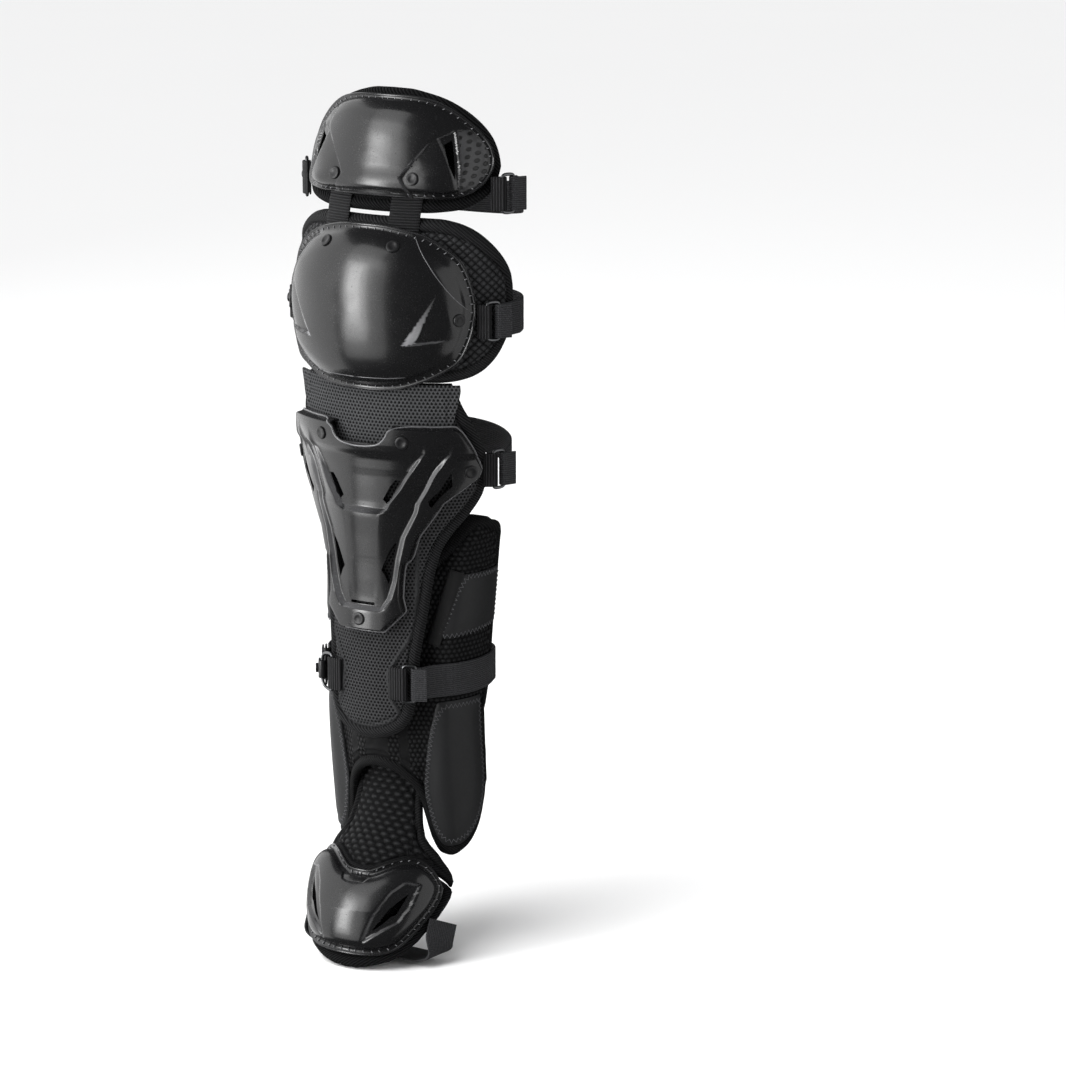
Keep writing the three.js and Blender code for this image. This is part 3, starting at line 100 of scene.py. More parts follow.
def through(xs, ys):
    """A smooth curve through table values that never overshoots them."""
    xs = np.asarray(xs, float)
    ys = np.asarray(ys, float)
    slopes = np.diff(ys) / np.diff(xs)
    before = np.concatenate([slopes[:1], slopes])
    after = np.concatenate([slopes, slopes[-1:]])
    sums = np.where(before + after == 0, 1, before + after)
    tangents = np.where(before * after <= 0, 0, 2 * before * after / sums)

    def curve(x):
        x = np.clip(x, xs[0], xs[-1])
        k = np.clip(np.searchsorted(xs, x, side="right") - 1, 0, len(xs) - 2)
        step = xs[k + 1] - xs[k]
        u = (x - xs[k]) / step
        bend = u * (1 - u) * step * (tangents[k] * (1 - u) - tangents[k + 1] * u)
        return ys[k] + (ys[k + 1] - ys[k]) * u * u * (3 - 2 * u) + bend

    return curve


def section_curve(column, size):
    return through(leg_sections["up"] * GUARD_HEIGHT, leg_sections[column] * size)


leg_front = section_curve("bow", -BOW_DEPTH)
leg_wide = section_curve("front", FRONT_RADIUS)
leg_arc = section_curve("arc", FRONT_ARC)
leg_tight = section_curve("side", SIDE_RADIUS)
knee_rest = np.array([0, leg_front(KNEE_CENTRE) + PAD_THICKNESS, KNEE_CENTRE])


def into_frame(points):
    """Floor millimetres to the frame's metres, whose origin is behind the knee cap."""
    return (np.asarray(points, float) - knee_rest) / 1000


def on_leg(s, z, n):
    """A place on the leg: s along the skin from its centre line, z up, n out from the skin."""
    s, z, n = np.broadcast_arrays(np.asarray(s, float), z, n)
    wide = leg_wide(z)
    tight = leg_tight(z)
    arc = np.minimum(abs(s), leg_arc(z))
    turned = arc / wide
    heading = turned + (abs(s) - arc) / tight
    x = wide * np.sin(turned) + tight * (np.sin(heading) - np.sin(turned)) + n * np.sin(heading)
    back = wide * (1 - np.cos(turned)) + tight * (np.cos(turned) - np.cos(heading))
    return into_frame(np.stack([np.sign(s) * x, leg_front(z) + back - n * np.cos(heading), z], -1))


def put(name, data):
    """A new object in the scene."""
    piece = bpy.data.objects.new(name, data)
    bpy.context.scene.collection.objects.link(piece)
    return piece


def fasten(piece):
    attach(piece, "root")
    return piece


def add_piece(name, points, faces, place, finish, shares=None):
    """A mesh that rides on the root, with its place on the form and shares of looks kept for its finish."""
    mesh = bpy.data.meshes.new(name)
    points = np.asarray(points).reshape(-1, 3)
    mesh.from_pydata(points.tolist(), [], faces)
    mesh.update()
    corners = [points[[face[i] for face in faces]] for i in (0, 1, 2)]
    if np.einsum("ij,ij->", corners[0], np.cross(corners[1], corners[2])) < 0:
        mesh.flip_normals()
    marks = mesh.attributes.new("place", "FLOAT_VECTOR", "POINT")
    marks.data.foreach_set("vector", np.asarray(place, np.float32).reshape(-1))
    for look, values in (shares or {}).items():
        share = mesh.attributes.new(look, "FLOAT", "POINT")
        share.data.foreach_set("value", np.asarray(values, np.float32).reshape(-1))
    mesh.shade_smooth()
    mesh.set_sharp_from_angle(angle=SHARP_FOLD)
    mesh.materials.append(finish)
    return fasten(put(name, mesh))


def grid_faces(indices, wrap=False):
    """Quads over a grid of corner numbers, joined round on itself where wrap is set."""
    right = np.roll(indices, -1, 1) if wrap else indices[:, 1:]
    left = indices if wrap else indices[:, :-1]
    quads = np.stack([left[:-1], right[:-1], right[1:], left[1:]], -1)
    return quads.reshape(-1, 4).tolist()


def border_of(grid):
    """The border of a grid, once round."""
    return np.concatenate([grid[0], grid[1:-1, -1], grid[-1, ::-1], grid[-2:0:-1, 0]])


def sheet_piece(name, form, a, b, top, bottom, edge, finish, slot, shares=None):
    """A closed sheet over a grid of places, between a top and a bottom height."""
    count = a.size
    outer = np.arange(count).reshape(a.shape)
    border = border_of(outer)
    faces = grid_faces(outer) + grid_faces((outer + count)[:, ::-1])
    faces += grid_faces(np.stack([border + count, border]), wrap=True)
    points = np.concatenate([form(a, b, top).reshape(-1, 3), form(a, b, bottom).reshape(-1, 3)])
    marks = np.stack([a, b, edge], -1).reshape(-1, 3)
    shares = {look: np.tile(values.ravel(), 2) for look, values in (shares or {}).items()}
    return add_piece(name, points, faces, np.concatenate([marks, marks]), finish, shares=shares)


def search_tree(spots):
    tree = KDTree(len(spots))
    for i, (x, y) in enumerate(spots):
        tree.insert((x, y, 0), i)
    tree.balance()
    return tree


def gap_to(spots, a, b):
    """How far each place of a grid lies from the nearest of some spots."""
    tree = search_tree(spots)
    near = [tree.find((x, y, 0))[2] for x, y in zip(a.ravel(), b.ravel())]
    return np.array(near).reshape(a.shape)


def edge_distance(a, b):
    """How far each place of a grid lies from the grid's border."""
    border = border_of(np.stack([a, b], -1))
    ends = np.roll(border, -1, 0)
    return gap_to(np.concatenate([mix(border, ends, share) for share in (0, 0.25, 0.5, 0.75)]), a, b)


def spread(count):
    """Shares from 0 to 1, closer together at both ends."""
    even = np.linspace(0, 1, count)
    return mix(even, (1 - np.cos(np.pi * even)) / 2, 0.6)


def column_grid(columns, half, low, height, across, up):
    """A grid from a table of columns: share of the half width, lower and upper edge there."""
    table = np.array(columns, dtype=[("across", float), ("low", float), ("high", float)])
    s = half * (2 * spread(across) - 1)
    lower = low + height * through(table["across"] * half, table["low"])(abs(s))
    upper = low + height * through(table["across"] * half, table["high"])(abs(s))
    b = mix(lower, upper, spread(up)[:, None])
    return np.broadcast_to(s, b.shape), b


def rolled(edge, thickness):
    """How far each face of a soft edge falls back towards the middle of its thickness."""
    radius = 0.46 * thickness
    share = 1 - np.clip(edge / radius, 0, 1)
    return radius * (1 - np.sqrt(1 - share**2))


def diamonds(a, b, wide, tall):
    """Pillows between crossing rows of quilting."""
    return np.sqrt(abs(np.sin(np.pi * (a / wide + b / tall)) * np.sin(np.pi * (a / wide - b / tall))))


def groove(x, middle, width):
    return np.exp(-(((x - middle) / width) ** 2))


class Wire:
    """A value that runs through a finish's nodes; sums and products of it add Math nodes."""

    def __init__(self, finish, socket):
        self.finish = finish
        self.socket = socket

    def math(self, operation, *others):
        return self.finish.add("ShaderNodeMath", {"operation": operation}, dict(enumerate([self, *others])))

    def __add__(self, other):
        return self.math("ADD", other)

    def __sub__(self, other):
        return self.math("SUBTRACT", other)

    def __mul__(self, other):
        return self.math("MULTIPLY", other)

    def __rsub__(self, other):
        return (self * -1) + other

    __radd__ = __add__
    __rmul__ = __mul__

    def wave(self, pitch):
        return (self * (2 * math.pi / pitch)).math("SINE")

    def between(self, low, high):
        """0 below low, 1 above high, smooth between them."""
        sockets = {"Value": self, "From Min": low, "From Max": high}
        return self.finish.add("ShaderNodeMapRange", {"interpolation_type": "SMOOTHSTEP"}, sockets)


class Finish:
    """One surface finish: a material whose nodes are added by wires."""

    def __init__(self, name, colour, roughness, shine=0.5, **constants):
        self.material = bpy.data.materials.new(name)
        self.material.use_nodes = True
        self.tree = self.material.node_tree
        self.shader = self.tree.nodes["Principled BSDF"]
        self.shader.inputs["Base Color"].default_value = (*colour, 1)
        self.shader.inputs["Roughness"].default_value = roughness
        self.shader.inputs["Specular IOR Level"].default_value = shine
        for look, value in constants.items():
            self.shader.inputs[look.replace("_", " ").title()].default_value = value

    def add(self, kind, settings, sockets, output=0):
        node = self.tree.nodes.new(kind)
        for name, value in settings.items():
            setattr(node, name, value)
        for key, value in sockets.items():
            if isinstance(value, Wire):
                self.tree.links.new(value.socket, node.inputs[key])
            else:
                node.inputs[key].default_value = value
        return Wire(self, node.outputs[output])

    def place(self):
        """The three wires of the place that a piece's mesh keeps: a, b and its edge distance."""
        whole = self.add("ShaderNodeAttribute", {"attribute_name": "place"}, {}, "Vector")
        return [self.add("ShaderNodeSeparateXYZ", {}, {0: whole}, axis) for axis in "XYZ"]

    def share(self, look):
        """How much of a look each point of the mesh has."""
        return self.add("ShaderNodeAttribute", {"attribute_name": look}, {}, "Fac")

    def noise(self, scale, detail=3):
        where = self.add("ShaderNodeTexCoord", {}, {}, "Object")
        return self.add("ShaderNodeTexNoise", {}, {"Vector": where, "Scale": scale, "Detail": detail})

    def blend(self, share, low, high):
        sockets = {0: share, 6: (*low, 1), 7: (*high, 1)}
        return self.add("ShaderNodeMix", {"data_type": "RGBA"}, sockets, 2)

    def feed(self, name, wire):
        self.tree.links.new(wire.socket, self.shader.inputs[name])

    def bump(self, height, millimetres):
        sockets = {"Height": height, "Distance": millimetres / 1000}
        self.feed("Normal", self.add("ShaderNodeBump", {}, sockets))

    def weave(self, relief, dark, light, roughness, gloss, fuzz, depth):
        """Colour, roughness and bump of a cloth, all from the relief of its weave; the colour is painted light on
        the raised yarn and painted shade in its hollows, with random fluff tone.
        """
        fluff = self.noise(900)
        self.feed("Base Color", self.blend(relief * 0.85 + fluff * 0.15, dark, light))
        self.feed("Roughness", roughness - relief * gloss)
        self.bump(relief + fluff * fuzz, depth)
        return self.material


def twill_wave(a, b):
    return (a * 0.75 + b).wave(TWILL_PITCH)


def twill_or_knit(name, dark, light, border, pitch, depth):
    """Knitted cover with a twill tape round its border."""
    cloth = Finish(name, light, 0.8, shine=0.05, sheen_weight=0.01, sheen_roughness=0.5)
    a, b, edge = cloth.place()
    knit = a.wave(pitch) * b.wave(pitch * 0.8)
    inside = edge.between(border - 0.8, border + 0.4)
    relief = twill_wave(a, b) * 0.7 * (1 - inside) + knit * inside
    fluff = cloth.noise(900)
    # The colour follows the relief: painted light on the raised twill and knit, painted shade in their hollows,
    # and random fluff tone.
    shade = (relief * 0.5 + 0.5) * 0.75 + fluff * 0.25
    cloth.feed("Base Color", cloth.blend(shade.between(0.1, 0.9), dark, light))
    cloth.feed("Roughness", 0.9 - relief.between(0, 1) * 0.22)
    cloth.bump(relief + fluff * 0.4, depth)
    return cloth.material


BINDING = 9.5
pad_cloth = twill_or_knit("pad_cloth", (0.0008, 0.0008, 0.0009), (0.009, 0.0091, 0.0096), BINDING, 2.6, 0.5)


def bound_pad(
    name, form, a, b, thickness, quilting, finish=pad_cloth, slot="pad_cloth", border=BINDING, shares=None
):
    """A padded piece: rolled twill edge, a seam inside it, and quilting within the seam."""
    edge = edge_distance(a, b)
    fall = rolled(edge, thickness)
    roll = 1.1 * groove(edge, border / 2, border / 3) - 1.6 * groove(edge, border, 0.9)
    inside = ease(edge, border + 0.5, border + 3)
    top = -fall + roll + inside * quilting(a, b, edge)
    piece = sheet_piece(name, form, a, b, top, fall - thickness, edge, finish, slot, shares)
    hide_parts(name.removesuffix("_cover"))
    return piece


thigh_columns = [
    (0, 0, 1), (0.16, 0, 0.995), (0.32, 0, 0.965), (0.47, 0, 0.92), (0.62, 0.01, 0.845),
    (0.76, 0.03, 0.745), (0.88, 0.085, 0.62), (0.96, 0.15, 0.48), (1, 0.24, 0.37),
]
DIAMOND_WIDE = 14
DIAMOND_TALL = 12


def thigh_quilting(a, b, edge):
    return 0.5 * diamonds(a, b, DIAMOND_WIDE, DIAMOND_TALL)


thigh_grid = column_grid(thigh_columns, THIGH_PAD_HALF, THIGH_PAD_LOW, THIGH_PAD_HEIGHT, 130, 66)
bound_pad("thigh_pad_cover", on_leg, *thigh_grid, PAD_THICKNESS, thigh_quilting)

# Thigh shell
# A glossy injection-moulded plate, laced to its pad through a row of holes inside its rim and held by two
# rivets. A rim bead, slanted creases, a framed vent and a field of dimples on each side stiffen it.
PIECE_SEAT = 0.5
SHELL_SEAT = 2.6
SHELL_WALL = 2.5
RIM_BEAD = 0.8
LACE_PITCH = 6.7
LACE_INSETS = (4.1, 3.7, 2.9, 2.5)
LACE_LIFTS = np.array([-0.7, 0.35, 0.3, -0.7])
THIGH_SHELL_LOW = THIGH_PAD_LOW + 12
THIGH_SHELL_HEIGHT = 74
THIGH_SHELL_HALF = 87
THIGH_DOME = 11


def smooth_line(points, count, closed=False):
    """Evenly spaced places on a centripetal curve through a few places."""
    points = np.asarray(points, float)
    if closed:
        ring = np.concatenate([points[-1:], points, points[:2]])
    else:
        ring = np.concatenate([2 * points[:1] - points[1:2], points, 2 * points[-1:] - points[-2:-1]])
    steps = np.sqrt(np.linalg.norm(np.diff(ring, axis=0), axis=1))
    knots = np.concatenate([[0], np.cumsum(np.maximum(steps, 1e-6))])
    line = []
    for i in range(1, len(ring) - 2):
        t = np.linspace(knots[i], knots[i + 1], 24, endpoint=False)[:, None]

        def lerp(j, k, low, high):
            return (knots[k] - t) / (knots[k] - knots[j]) * low + (t - knots[j]) / (knots[k] - knots[j]) * high

        first = [lerp(j, j + 1, ring[j], ring[j + 1]) for j in (i - 1, i, i + 1)]
        second = [lerp(j, j + 2, first[m], first[m + 1]) for m, j in enumerate((i - 1, i))]
        line.append(lerp(i, i + 1, *second))
    line = np.concatenate([*line, ring[-2:-1]])
    length = np.concatenate([[0], np.cumsum(np.linalg.norm(np.diff(line, axis=0), axis=1))])
    even = np.linspace(0, length[-1], count + 1 if closed else count)
    even = even[:-1] if closed else even
    return np.stack([np.interp(even, length, line[:, axis]) for axis in range(line.shape[1])], -1)


def cap_outline(rows, half, low, height, count):
    """A closed outline from the rows of its right half: shares of its half width and height."""
    right = np.array(rows, float) * (half, height) + (0, low)
    left = right[-2:0:-1] * (-1, 1)
    return smooth_line(np.concatenate([right, left]), count, closed=True)


class Cap:
    """The grid of a domed shell: rings from its rim to its middle."""

    rim_rings = [0, 0.5, 1, 1.5, 2, 2.6, 3.3, 4.1, 5, 6, 7.2, 8.5, 10]

    def __init__(self, form, outline, middle, dome, rings, seat=SHELL_SEAT):
        self.form = form
        self.seat = seat
        self.outline = outline
        self.middle = np.array(middle, float)
        self.radius = np.linalg.norm(outline - self.middle, axis=1)
        at_rim = [1 - distance / self.radius for distance in self.rim_rings]
        inside = [at_rim[-1] * share for share in np.linspace(1, 0.03, rings)[1:]]
        shares = np.array(at_rim + inside)
        spots = self.middle + (outline - self.middle) * shares[..., None]
        self.a = spots[..., 0]
        self.b = spots[..., 1]
        self.edge = gap_to(outline, self.a, self.b)
        self.edge[0] = 0
        self.height = seat + SHELL_WALL + dome * dome_profile(shares)
        self.shares = {}

    def shape(self, relief):
        """Adds the relief pressed into the dome, and a painted highlight that pales its steep edges."""
        self.height = self.height + relief
        self.shares["polish"] = 0.12 * ease(steepness(self.a, self.b, relief), 0.5, 1.2)

    def piece(self, name, node, finish):
        rows, count = self.a.shape
        kept = sorted({0, 4, 9, *range(12, rows, 3), rows - 1})
        outer = np.arange(rows * count).reshape(rows, count)
        inner = outer.size + np.arange(len(kept) * count).reshape(-1, count)
        centre = outer.size + inner.size
        faces = grid_faces(outer, wrap=True) + grid_faces(inner[:, ::-1], wrap=True)
        faces += grid_faces(np.stack([inner[0], outer[0]]), wrap=True)
        faces += [[outer[-1, j], outer[-1, (j + 1) % count], centre] for j in range(count)]
        faces += [[inner[-1, (j + 1) % count], inner[-1, j], centre + 1] for j in range(count)]
        wall = SHELL_WALL + (self.seat - PIECE_SEAT) * (1 - ease(self.edge, 1, 3))
        top = self.form(self.a, self.b, self.height).reshape(-1, 3)
        under = self.form(self.a[kept], self.b[kept], (self.height - wall)[kept]).reshape(-1, 3)
        peak = self.height[-1].mean()
        middles = [self.form(*self.middle, peak), self.form(*self.middle, peak - SHELL_WALL)]
        marks = np.stack([self.a, self.b, self.edge], -1)
        middle_mark = [[*self.middle, self.edge.max()]] * 2
        marks = np.concatenate([marks.reshape(-1, 3), marks[kept].reshape(-1, 3), middle_mark])
        below = np.zeros(inner.size + 2)
        shares = {look: np.concatenate([values.ravel(), below]) for look, values in self.shares.items()}
        points = np.concatenate([top, under, middles])
        shell = add_piece(name, points, faces, marks, finish, shares=shares)
        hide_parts(node)
        return shell

    def inset(self, distance):
        return self.middle + (self.outline - self.middle) * (1 - distance / self.radius)[:, None]


dome_profile = through([0, 0.25, 0.5, 0.72, 0.865, 0.93, 1], [1, 0.98, 0.9, 0.72, 0.38, 0.06, 0])


def steepness(a, b, height):
    """How steep a relief is against the form that it stands on."""
    slopes = []
    for axis in (0, 1):
        run = np.hypot(np.gradient(a, axis=axis), np.gradient(b, axis=axis))
        slopes.append(np.gradient(height, axis=axis) / np.maximum(run, 1e-6))
    return np.hypot(*slopes)


def crease(a, b, line, width, side=1, soft=0.6):
    """A fold along a line of (a, b, depth): the skin steps down on one side and runs out over a width."""
    line = np.array(line, float)
    signed = np.full(a.shape, 1e9)
    weights = np.zeros(a.shape)
    depths = np.zeros(a.shape)
    nearest = np.full(a.shape, 1e9)
    for start, end in zip(line[:-1], line[1:]):
        along = end[:2] - start[:2]
        length = np.hypot(*along)
        across = np.array([-along[1], along[0]]) / length * side
        share = np.clip(((a - start[0]) * along[0] + (b - start[1]) * along[1]) / length**2, 0, 1)
        gap = np.hypot(a - start[0] - share * along[0], b - start[1] - share * along[1])
        signed = np.minimum(signed, (a - start[0]) * across[0] + (b - start[1]) * across[1])
        weight = 1 / (gap + 0.3) ** 4
        depths += weight * mix(start[2], end[2], share)
        weights += weight
        nearest = np.minimum(nearest, gap)
    return -depths / weights * ease(signed, 0, 2 * soft) * (1 - ease(nearest, 0, width))


def facet(a, b, start, end, slope, width):
    """A flat beyond a line: the skin bends in there and comes back over a width."""
    along = np.array(end, float) - start
    along /= np.hypot(*along)
    reach = np.clip((along[0] * (b - start[1]) - along[1] * (a - start[0])) / width, 0, 1)
    return -slope * width * reach * (1 - reach) ** 2


def inside_of(a, b, corners):
    """How deep each place lies inside a convex outline; negative outside it."""
    corners = np.array(corners, float)
    ends = np.roll(corners, -1, 0)
    area = np.sum(corners[:, 0] * ends[:, 1] - corners[:, 1] * ends[:, 0])
    depth = np.full(a.shape, 1e9)
    for start, end in zip(corners, ends):
        along = (end - start) / np.hypot(*(end - start)) * np.sign(area)
        depth = np.minimum(depth, along[0] * (b - start[1]) - along[1] * (a - start[0]))
    return depth


def pocket(a, b, corners, depth, soft=0.9):
    return -depth * ease(inside_of(a, b, corners), -soft, soft)


def mirrored(corners):
    return [(-row[0], *row[1:]) for row in corners]


def prism(form, corners, low, high):
    """A mesh that stands on an outline on a form, from one height to another."""
    corners = np.array(corners, float)
    count = len(corners)
    points = np.concatenate([form(*corners.T, low), form(*corners.T, high)])
    faces = [list(range(count))[::-1], list(range(count, 2 * count))]
    faces += [[i, (i + 1) % count, (i + 1) % count + count, i + count] for i in range(count)]
    mesh = bpy.data.meshes.new("prism")
    mesh.from_pydata(points.tolist(), [], faces)
    centre = points.mean(0)
    solid = sum((points[f[0]] - centre) @ np.cross(points[f[1]] - centre, points[f[2]] - centre) for f in faces)
    if solid < 0:
        mesh.flip_normals()
    return mesh


def cut(piece, form, corners, low=-9, high=45):
    """Cuts an opening through a shell with a prism that stands on the form."""
    cutter = put("cutter", prism(form, corners, low, high))
    modifier = piece.modifiers.new("cut", "BOOLEAN")
    modifier.object = cutter
    modifier.solver = "EXACT"
    settle(piece)
    bpy.data.objects.remove(cutter)


def settle(piece):
    """Applies a piece's modifiers to its mesh."""
    bpy.context.view_layer.update()
    result = bpy.data.meshes.new_from_object(piece.evaluated_get(bpy.context.evaluated_depsgraph_get()))
    piece.modifiers.clear()
    piece.data = result


def line_piece(name, lines, radius, finish, closed=False):
    """Round threads, beads or wires along lines of points, as one piece."""
    curve = bpy.data.curves.new(name, "CURVE")
    curve.dimensions = "3D"
    curve.bevel_depth = radius / 1000
    curve.bevel_resolution = 2
    curve.use_fill_caps = True
    for line in lines:
        spline = curve.splines.new("POLY")
        spline.points.add(len(line) - 1)
        spline.points.foreach_set("co", np.c_[line, np.ones(len(line))].ravel())
        spline.use_cyclic_u = closed
        spline.use_smooth = True
    curve.materials.append(finish)
    return fasten(put(name, curve))


def lacing(name, cap, finish):
    """Short turns of thread sunk in the flange inside the rim of a shell."""
    wraps = [cap.inset(distance) for distance in LACE_INSETS]
    lengths = np.linalg.norm(np.roll(cap.outline, -1, 0) - cap.outline, axis=1)
    ends = np.cumsum(lengths)
    turns = []
    for along in np.arange(0.5 * LACE_PITCH, ends[-1], LACE_PITCH):
        i = int(np.searchsorted(ends, along)) % len(ends)
        spots = np.array([wrap[i] for wrap in wraps])
        turns.append(cap.form(*spots.T, cap.seat + SHELL_WALL + LACE_LIFTS))
    line_piece(name, turns, 0.38, finish)


def skin_height(a, b, height, spots):
    """The height of a gridded skin at other places, from the nearest places of its grid."""
    tree = search_tree(np.c_[a.ravel(), b.ravel()])
    found = [tree.find_n((x, y, 0), 4) for x, y in spots]
    weights = [[1 / (near[2] + 0.01) for near in four] for four in found]
    values = [[height.flat[near[1]] for near in four] for four in found]
    return np.array([np.average(value, weights=weight) for value, weight in zip(values, weights)])


def ridges(name, cap, corners):
    """Fine raised lines on a shell, the same on both sides, in a paler copy of the shell plastic: a painted
    highlight.
    """
    lines = []
    for row in corners:
        for sign in (1, -1):
            spots = smooth_line(np.array(row, float) * (sign, 1), 60)
            sunk = 0.15 + 0.35 * ease(np.linspace(-1, 1, 60) ** 2, 0.6, 1)
            lines.append(cap.form(*spots.T, skin_height(cap.a, cap.b, cap.height, spots) - sunk))
    line_piece(name, lines, 0.42, painted_bright_bead)


DIMPLE_WIDE = 7
DIMPLE_TALL = 5.6


def gloss_plastic(name, colour, dimpled=False):
    """Polished black plastic with a faint orange peel, fine handling marks and a painted highlight: steep edges
    and bevels are painted a paler grey.
    """
    plastic = Finish(name, colour, 0.26, shine=0.4, coat_weight=0.15, coat_roughness=0.1)
    peel = plastic.noise(55, 2)
    scuff = plastic.noise(700, 4)
    # Painted highlight: steep bevels and edges are painted a paler grey, standing in for the light they catch.
    polish = plastic.share("polish")
    roughness = 0.2 + peel.between(0.3, 0.7) * 0.06 + scuff.between(0.55, 0.75) * 0.12
    base = plastic.blend(polish, colour, (0.3, 0.3, 0.31))
    relief = peel * 0.05 + scuff * 0.001
    if dimpled:
        a, b, _ = plastic.place()
        across = a.math("ABSOLUTE") * (1 / DIMPLE_WIDE)
        column = across.math("FLOOR")
        aside = across.math("FRACT") - 0.5
        up = ((b * (1 / DIMPLE_TALL)) + column * 0.5).math("FRACT") - 0.5
        drop = (aside * aside + up * up * 1.2).math("SQRT")
        # Each pit is pressed in by the bump and painted near black: painted shade in the pit.
        pit_and_shade = (1 - drop.between(0.2, 0.36)) * plastic.share("dimpled")
        roughness = roughness + plastic.share("dimpled") * 0.2
        # The whole field is painted a paler grey: a painted sheen for the light its texture scatters.
        field_sheen = plastic.share("dimpled") * 0.5
        for share, shade in ((field_sheen, (0.05, 0.05, 0.052, 1)), (pit_and_shade, (0.0005, 0.0005, 0.0005, 1))):
            base = plastic.add("ShaderNodeMix", {"data_type": "RGBA"}, {0: share, 6: base, 7: shade}, 2)
        relief = relief - pit_and_shade * 0.6
    plastic.feed("Base Color", base)
    plastic.feed("Roughness", roughness)
    plastic.bump(relief, 1)
    return plastic.material


SHELL_BLACK = (0.004, 0.004, 0.0043)
gloss_shell = gloss_plastic("gloss_shell", SHELL_BLACK)
dimpled_shell = gloss_plastic("dimpled_shell", SHELL_BLACK, dimpled=True)
# A paler copy of the shell plastic for rim beads and ridges: a painted highlight along them.
painted_bright_bead = gloss_plastic("painted_bright_bead", (0.07, 0.07, 0.073))
lace_thread = Finish("lace_thread", (0.12, 0.12, 0.126), 0.4, shine=0.5).material

thigh_rows = [
    (0, 1), (0.27, 0.99), (0.46, 0.945), (0.62, 0.855), (0.77, 0.73), (0.89, 0.6), (0.98, 0.44),
    (1, 0.27), (0.95, 0.13), (0.84, 0.035), (0.6, 0.0), (0.3, 0.005), (0, 0.01),
]
thigh_outline = cap_outline(thigh_rows, THIGH_SHELL_HALF, THIGH_SHELL_LOW, THIGH_SHELL_HEIGHT, 520)
thigh_cap = Cap(on_leg, thigh_outline, (0, THIGH_SHELL_LOW + 0.45 * THIGH_SHELL_HEIGHT), THIGH_DOME, rings=62)
thigh_fold = [(41, 635, 0.3), (33, 622.5, 1.7), (22.5, 606.5, 3.8), (30.5, 595, 2.8)]
thigh_crest = [(40, 656, 0), (41.5, 650, 0.9), (43, 642, 0.3)]
vent_frame = [(45, 635), (55.5, 640), (66.5, 595)]
vent_hole = [(49.5, 630.5), (54.5, 634), (61.5, 605)]
dimple_field = [(57, 641), (66, 641), (79, 629), (83.5, 611), (78, 599), (67, 595)]


def rim(edge):
    """The raised bead at a shell's edge and the sunken flange inside it."""
    return RIM_BEAD * groove(edge, 0.7, 0.7) - 0.7 * groove(edge, 3.3, 1.5)


reach_in = abs(thigh_cap.a)
thigh_relief = rim(thigh_cap.edge) + crease(reach_in, thigh_cap.b, thigh_fold, 24, soft=0.4)
thigh_relief += crease(reach_in, thigh_cap.b, thigh_crest, 8) + pocket(reach_in, thigh_cap.b, vent_frame, 1.6)
thigh_cap.shape(thigh_relief)
thigh_cap.shares["dimpled"] = ease(inside_of(reach_in, thigh_cap.b, dimple_field), 0, 0.8)
thigh_shell = thigh_cap.piece("thigh_shell_skin", "thigh_shell", dimpled_shell)
for corners in (vent_hole, mirrored(vent_hole)):
    cut(thigh_shell, on_leg, corners)
lacing("thigh_lacing", thigh_cap, lace_thread)

# Rivets
# Black flat-headed rivets with a shallow dished face. Their shanks go through each shell and hold it to
# the webs and the pads behind it.
RIVET_RADIUS = 5
rivet_profile = [
    (0, 0.9), (2.2, 0.95), (2.9, 1.35), (4.1, 1.45), (4.75, 1.1), (RIVET_RADIUS, 0.5), (RIVET_RADIUS, 0),
    (2.4, 0), (2.4, -2.8), (0, -2.8),
]
rivet_black = Finish("rivet_black", (0.006, 0.006, 0.0065), 0.42, shine=0.35)
rivet_black.bump(rivet_black.noise(400), 0.1)
RIVET_SIDES = 28


def rivet(node, a, b, height, spot):
    """One rivet, flat on the skin of its shell round a spot."""
    near = np.hypot(a - spot[0], b - spot[1]) < RIVET_RADIUS + 0.6
    skin = on_leg(a[near], b[near], height[near])
    middle = skin.mean(0)
    out = np.linalg.svd(skin - middle)[2][2]
    foot = on_leg(*spot, 0.0)
    facing = on_leg(*spot, 1.0) - foot
    out = out * np.sign(out @ facing)
    middle = foot + facing * ((middle - foot) @ facing) / (facing @ facing)
    middle = middle + out * np.max((skin - middle) @ out)
    side = np.cross(out, (0, 0, 1))
    side /= np.linalg.norm(side)
    turns = np.arange(RIVET_SIDES) / RIVET_SIDES * 2 * np.pi
    spoke = np.cos(turns)[:, None] * side + np.sin(turns)[:, None] * np.cross(out, side)
    rings = [middle + (radius * spoke + up * out) / 1000 for radius, up in rivet_profile[1:-1]]
    points = np.concatenate([*rings, [middle + rivet_profile[end][1] * out / 1000 for end in (0, -1)]])
    indices = np.arange(len(rings) * RIVET_SIDES).reshape(-1, RIVET_SIDES)
    faces = grid_faces(indices, wrap=True)
    for row, centre in ((indices[0][::-1], len(points) - 2), (indices[-1], len(points) - 1)):
        faces += [[row[j], row[(j + 1) % RIVET_SIDES], centre] for j in range(RIVET_SIDES)]
    marks = np.zeros((len(points), 3))
    stud = add_piece(f"{node}_head", points, faces, marks, rivet_black.material)
    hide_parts(node)


SIDES = (("outer", -1), ("inner", 1))


def rivet_pair(name, a, b, height, across, up):
    for side, sign in SIDES:
        rivet(f"{name}_{side}", a, b, height, (sign * across, up))


THIGH_RIVET_SPOT = (32.2, 605.4)
rivet_pair("thigh_rivet", thigh_cap.a, thigh_cap.b, thigh_cap.height, *THIGH_RIVET_SPOT)

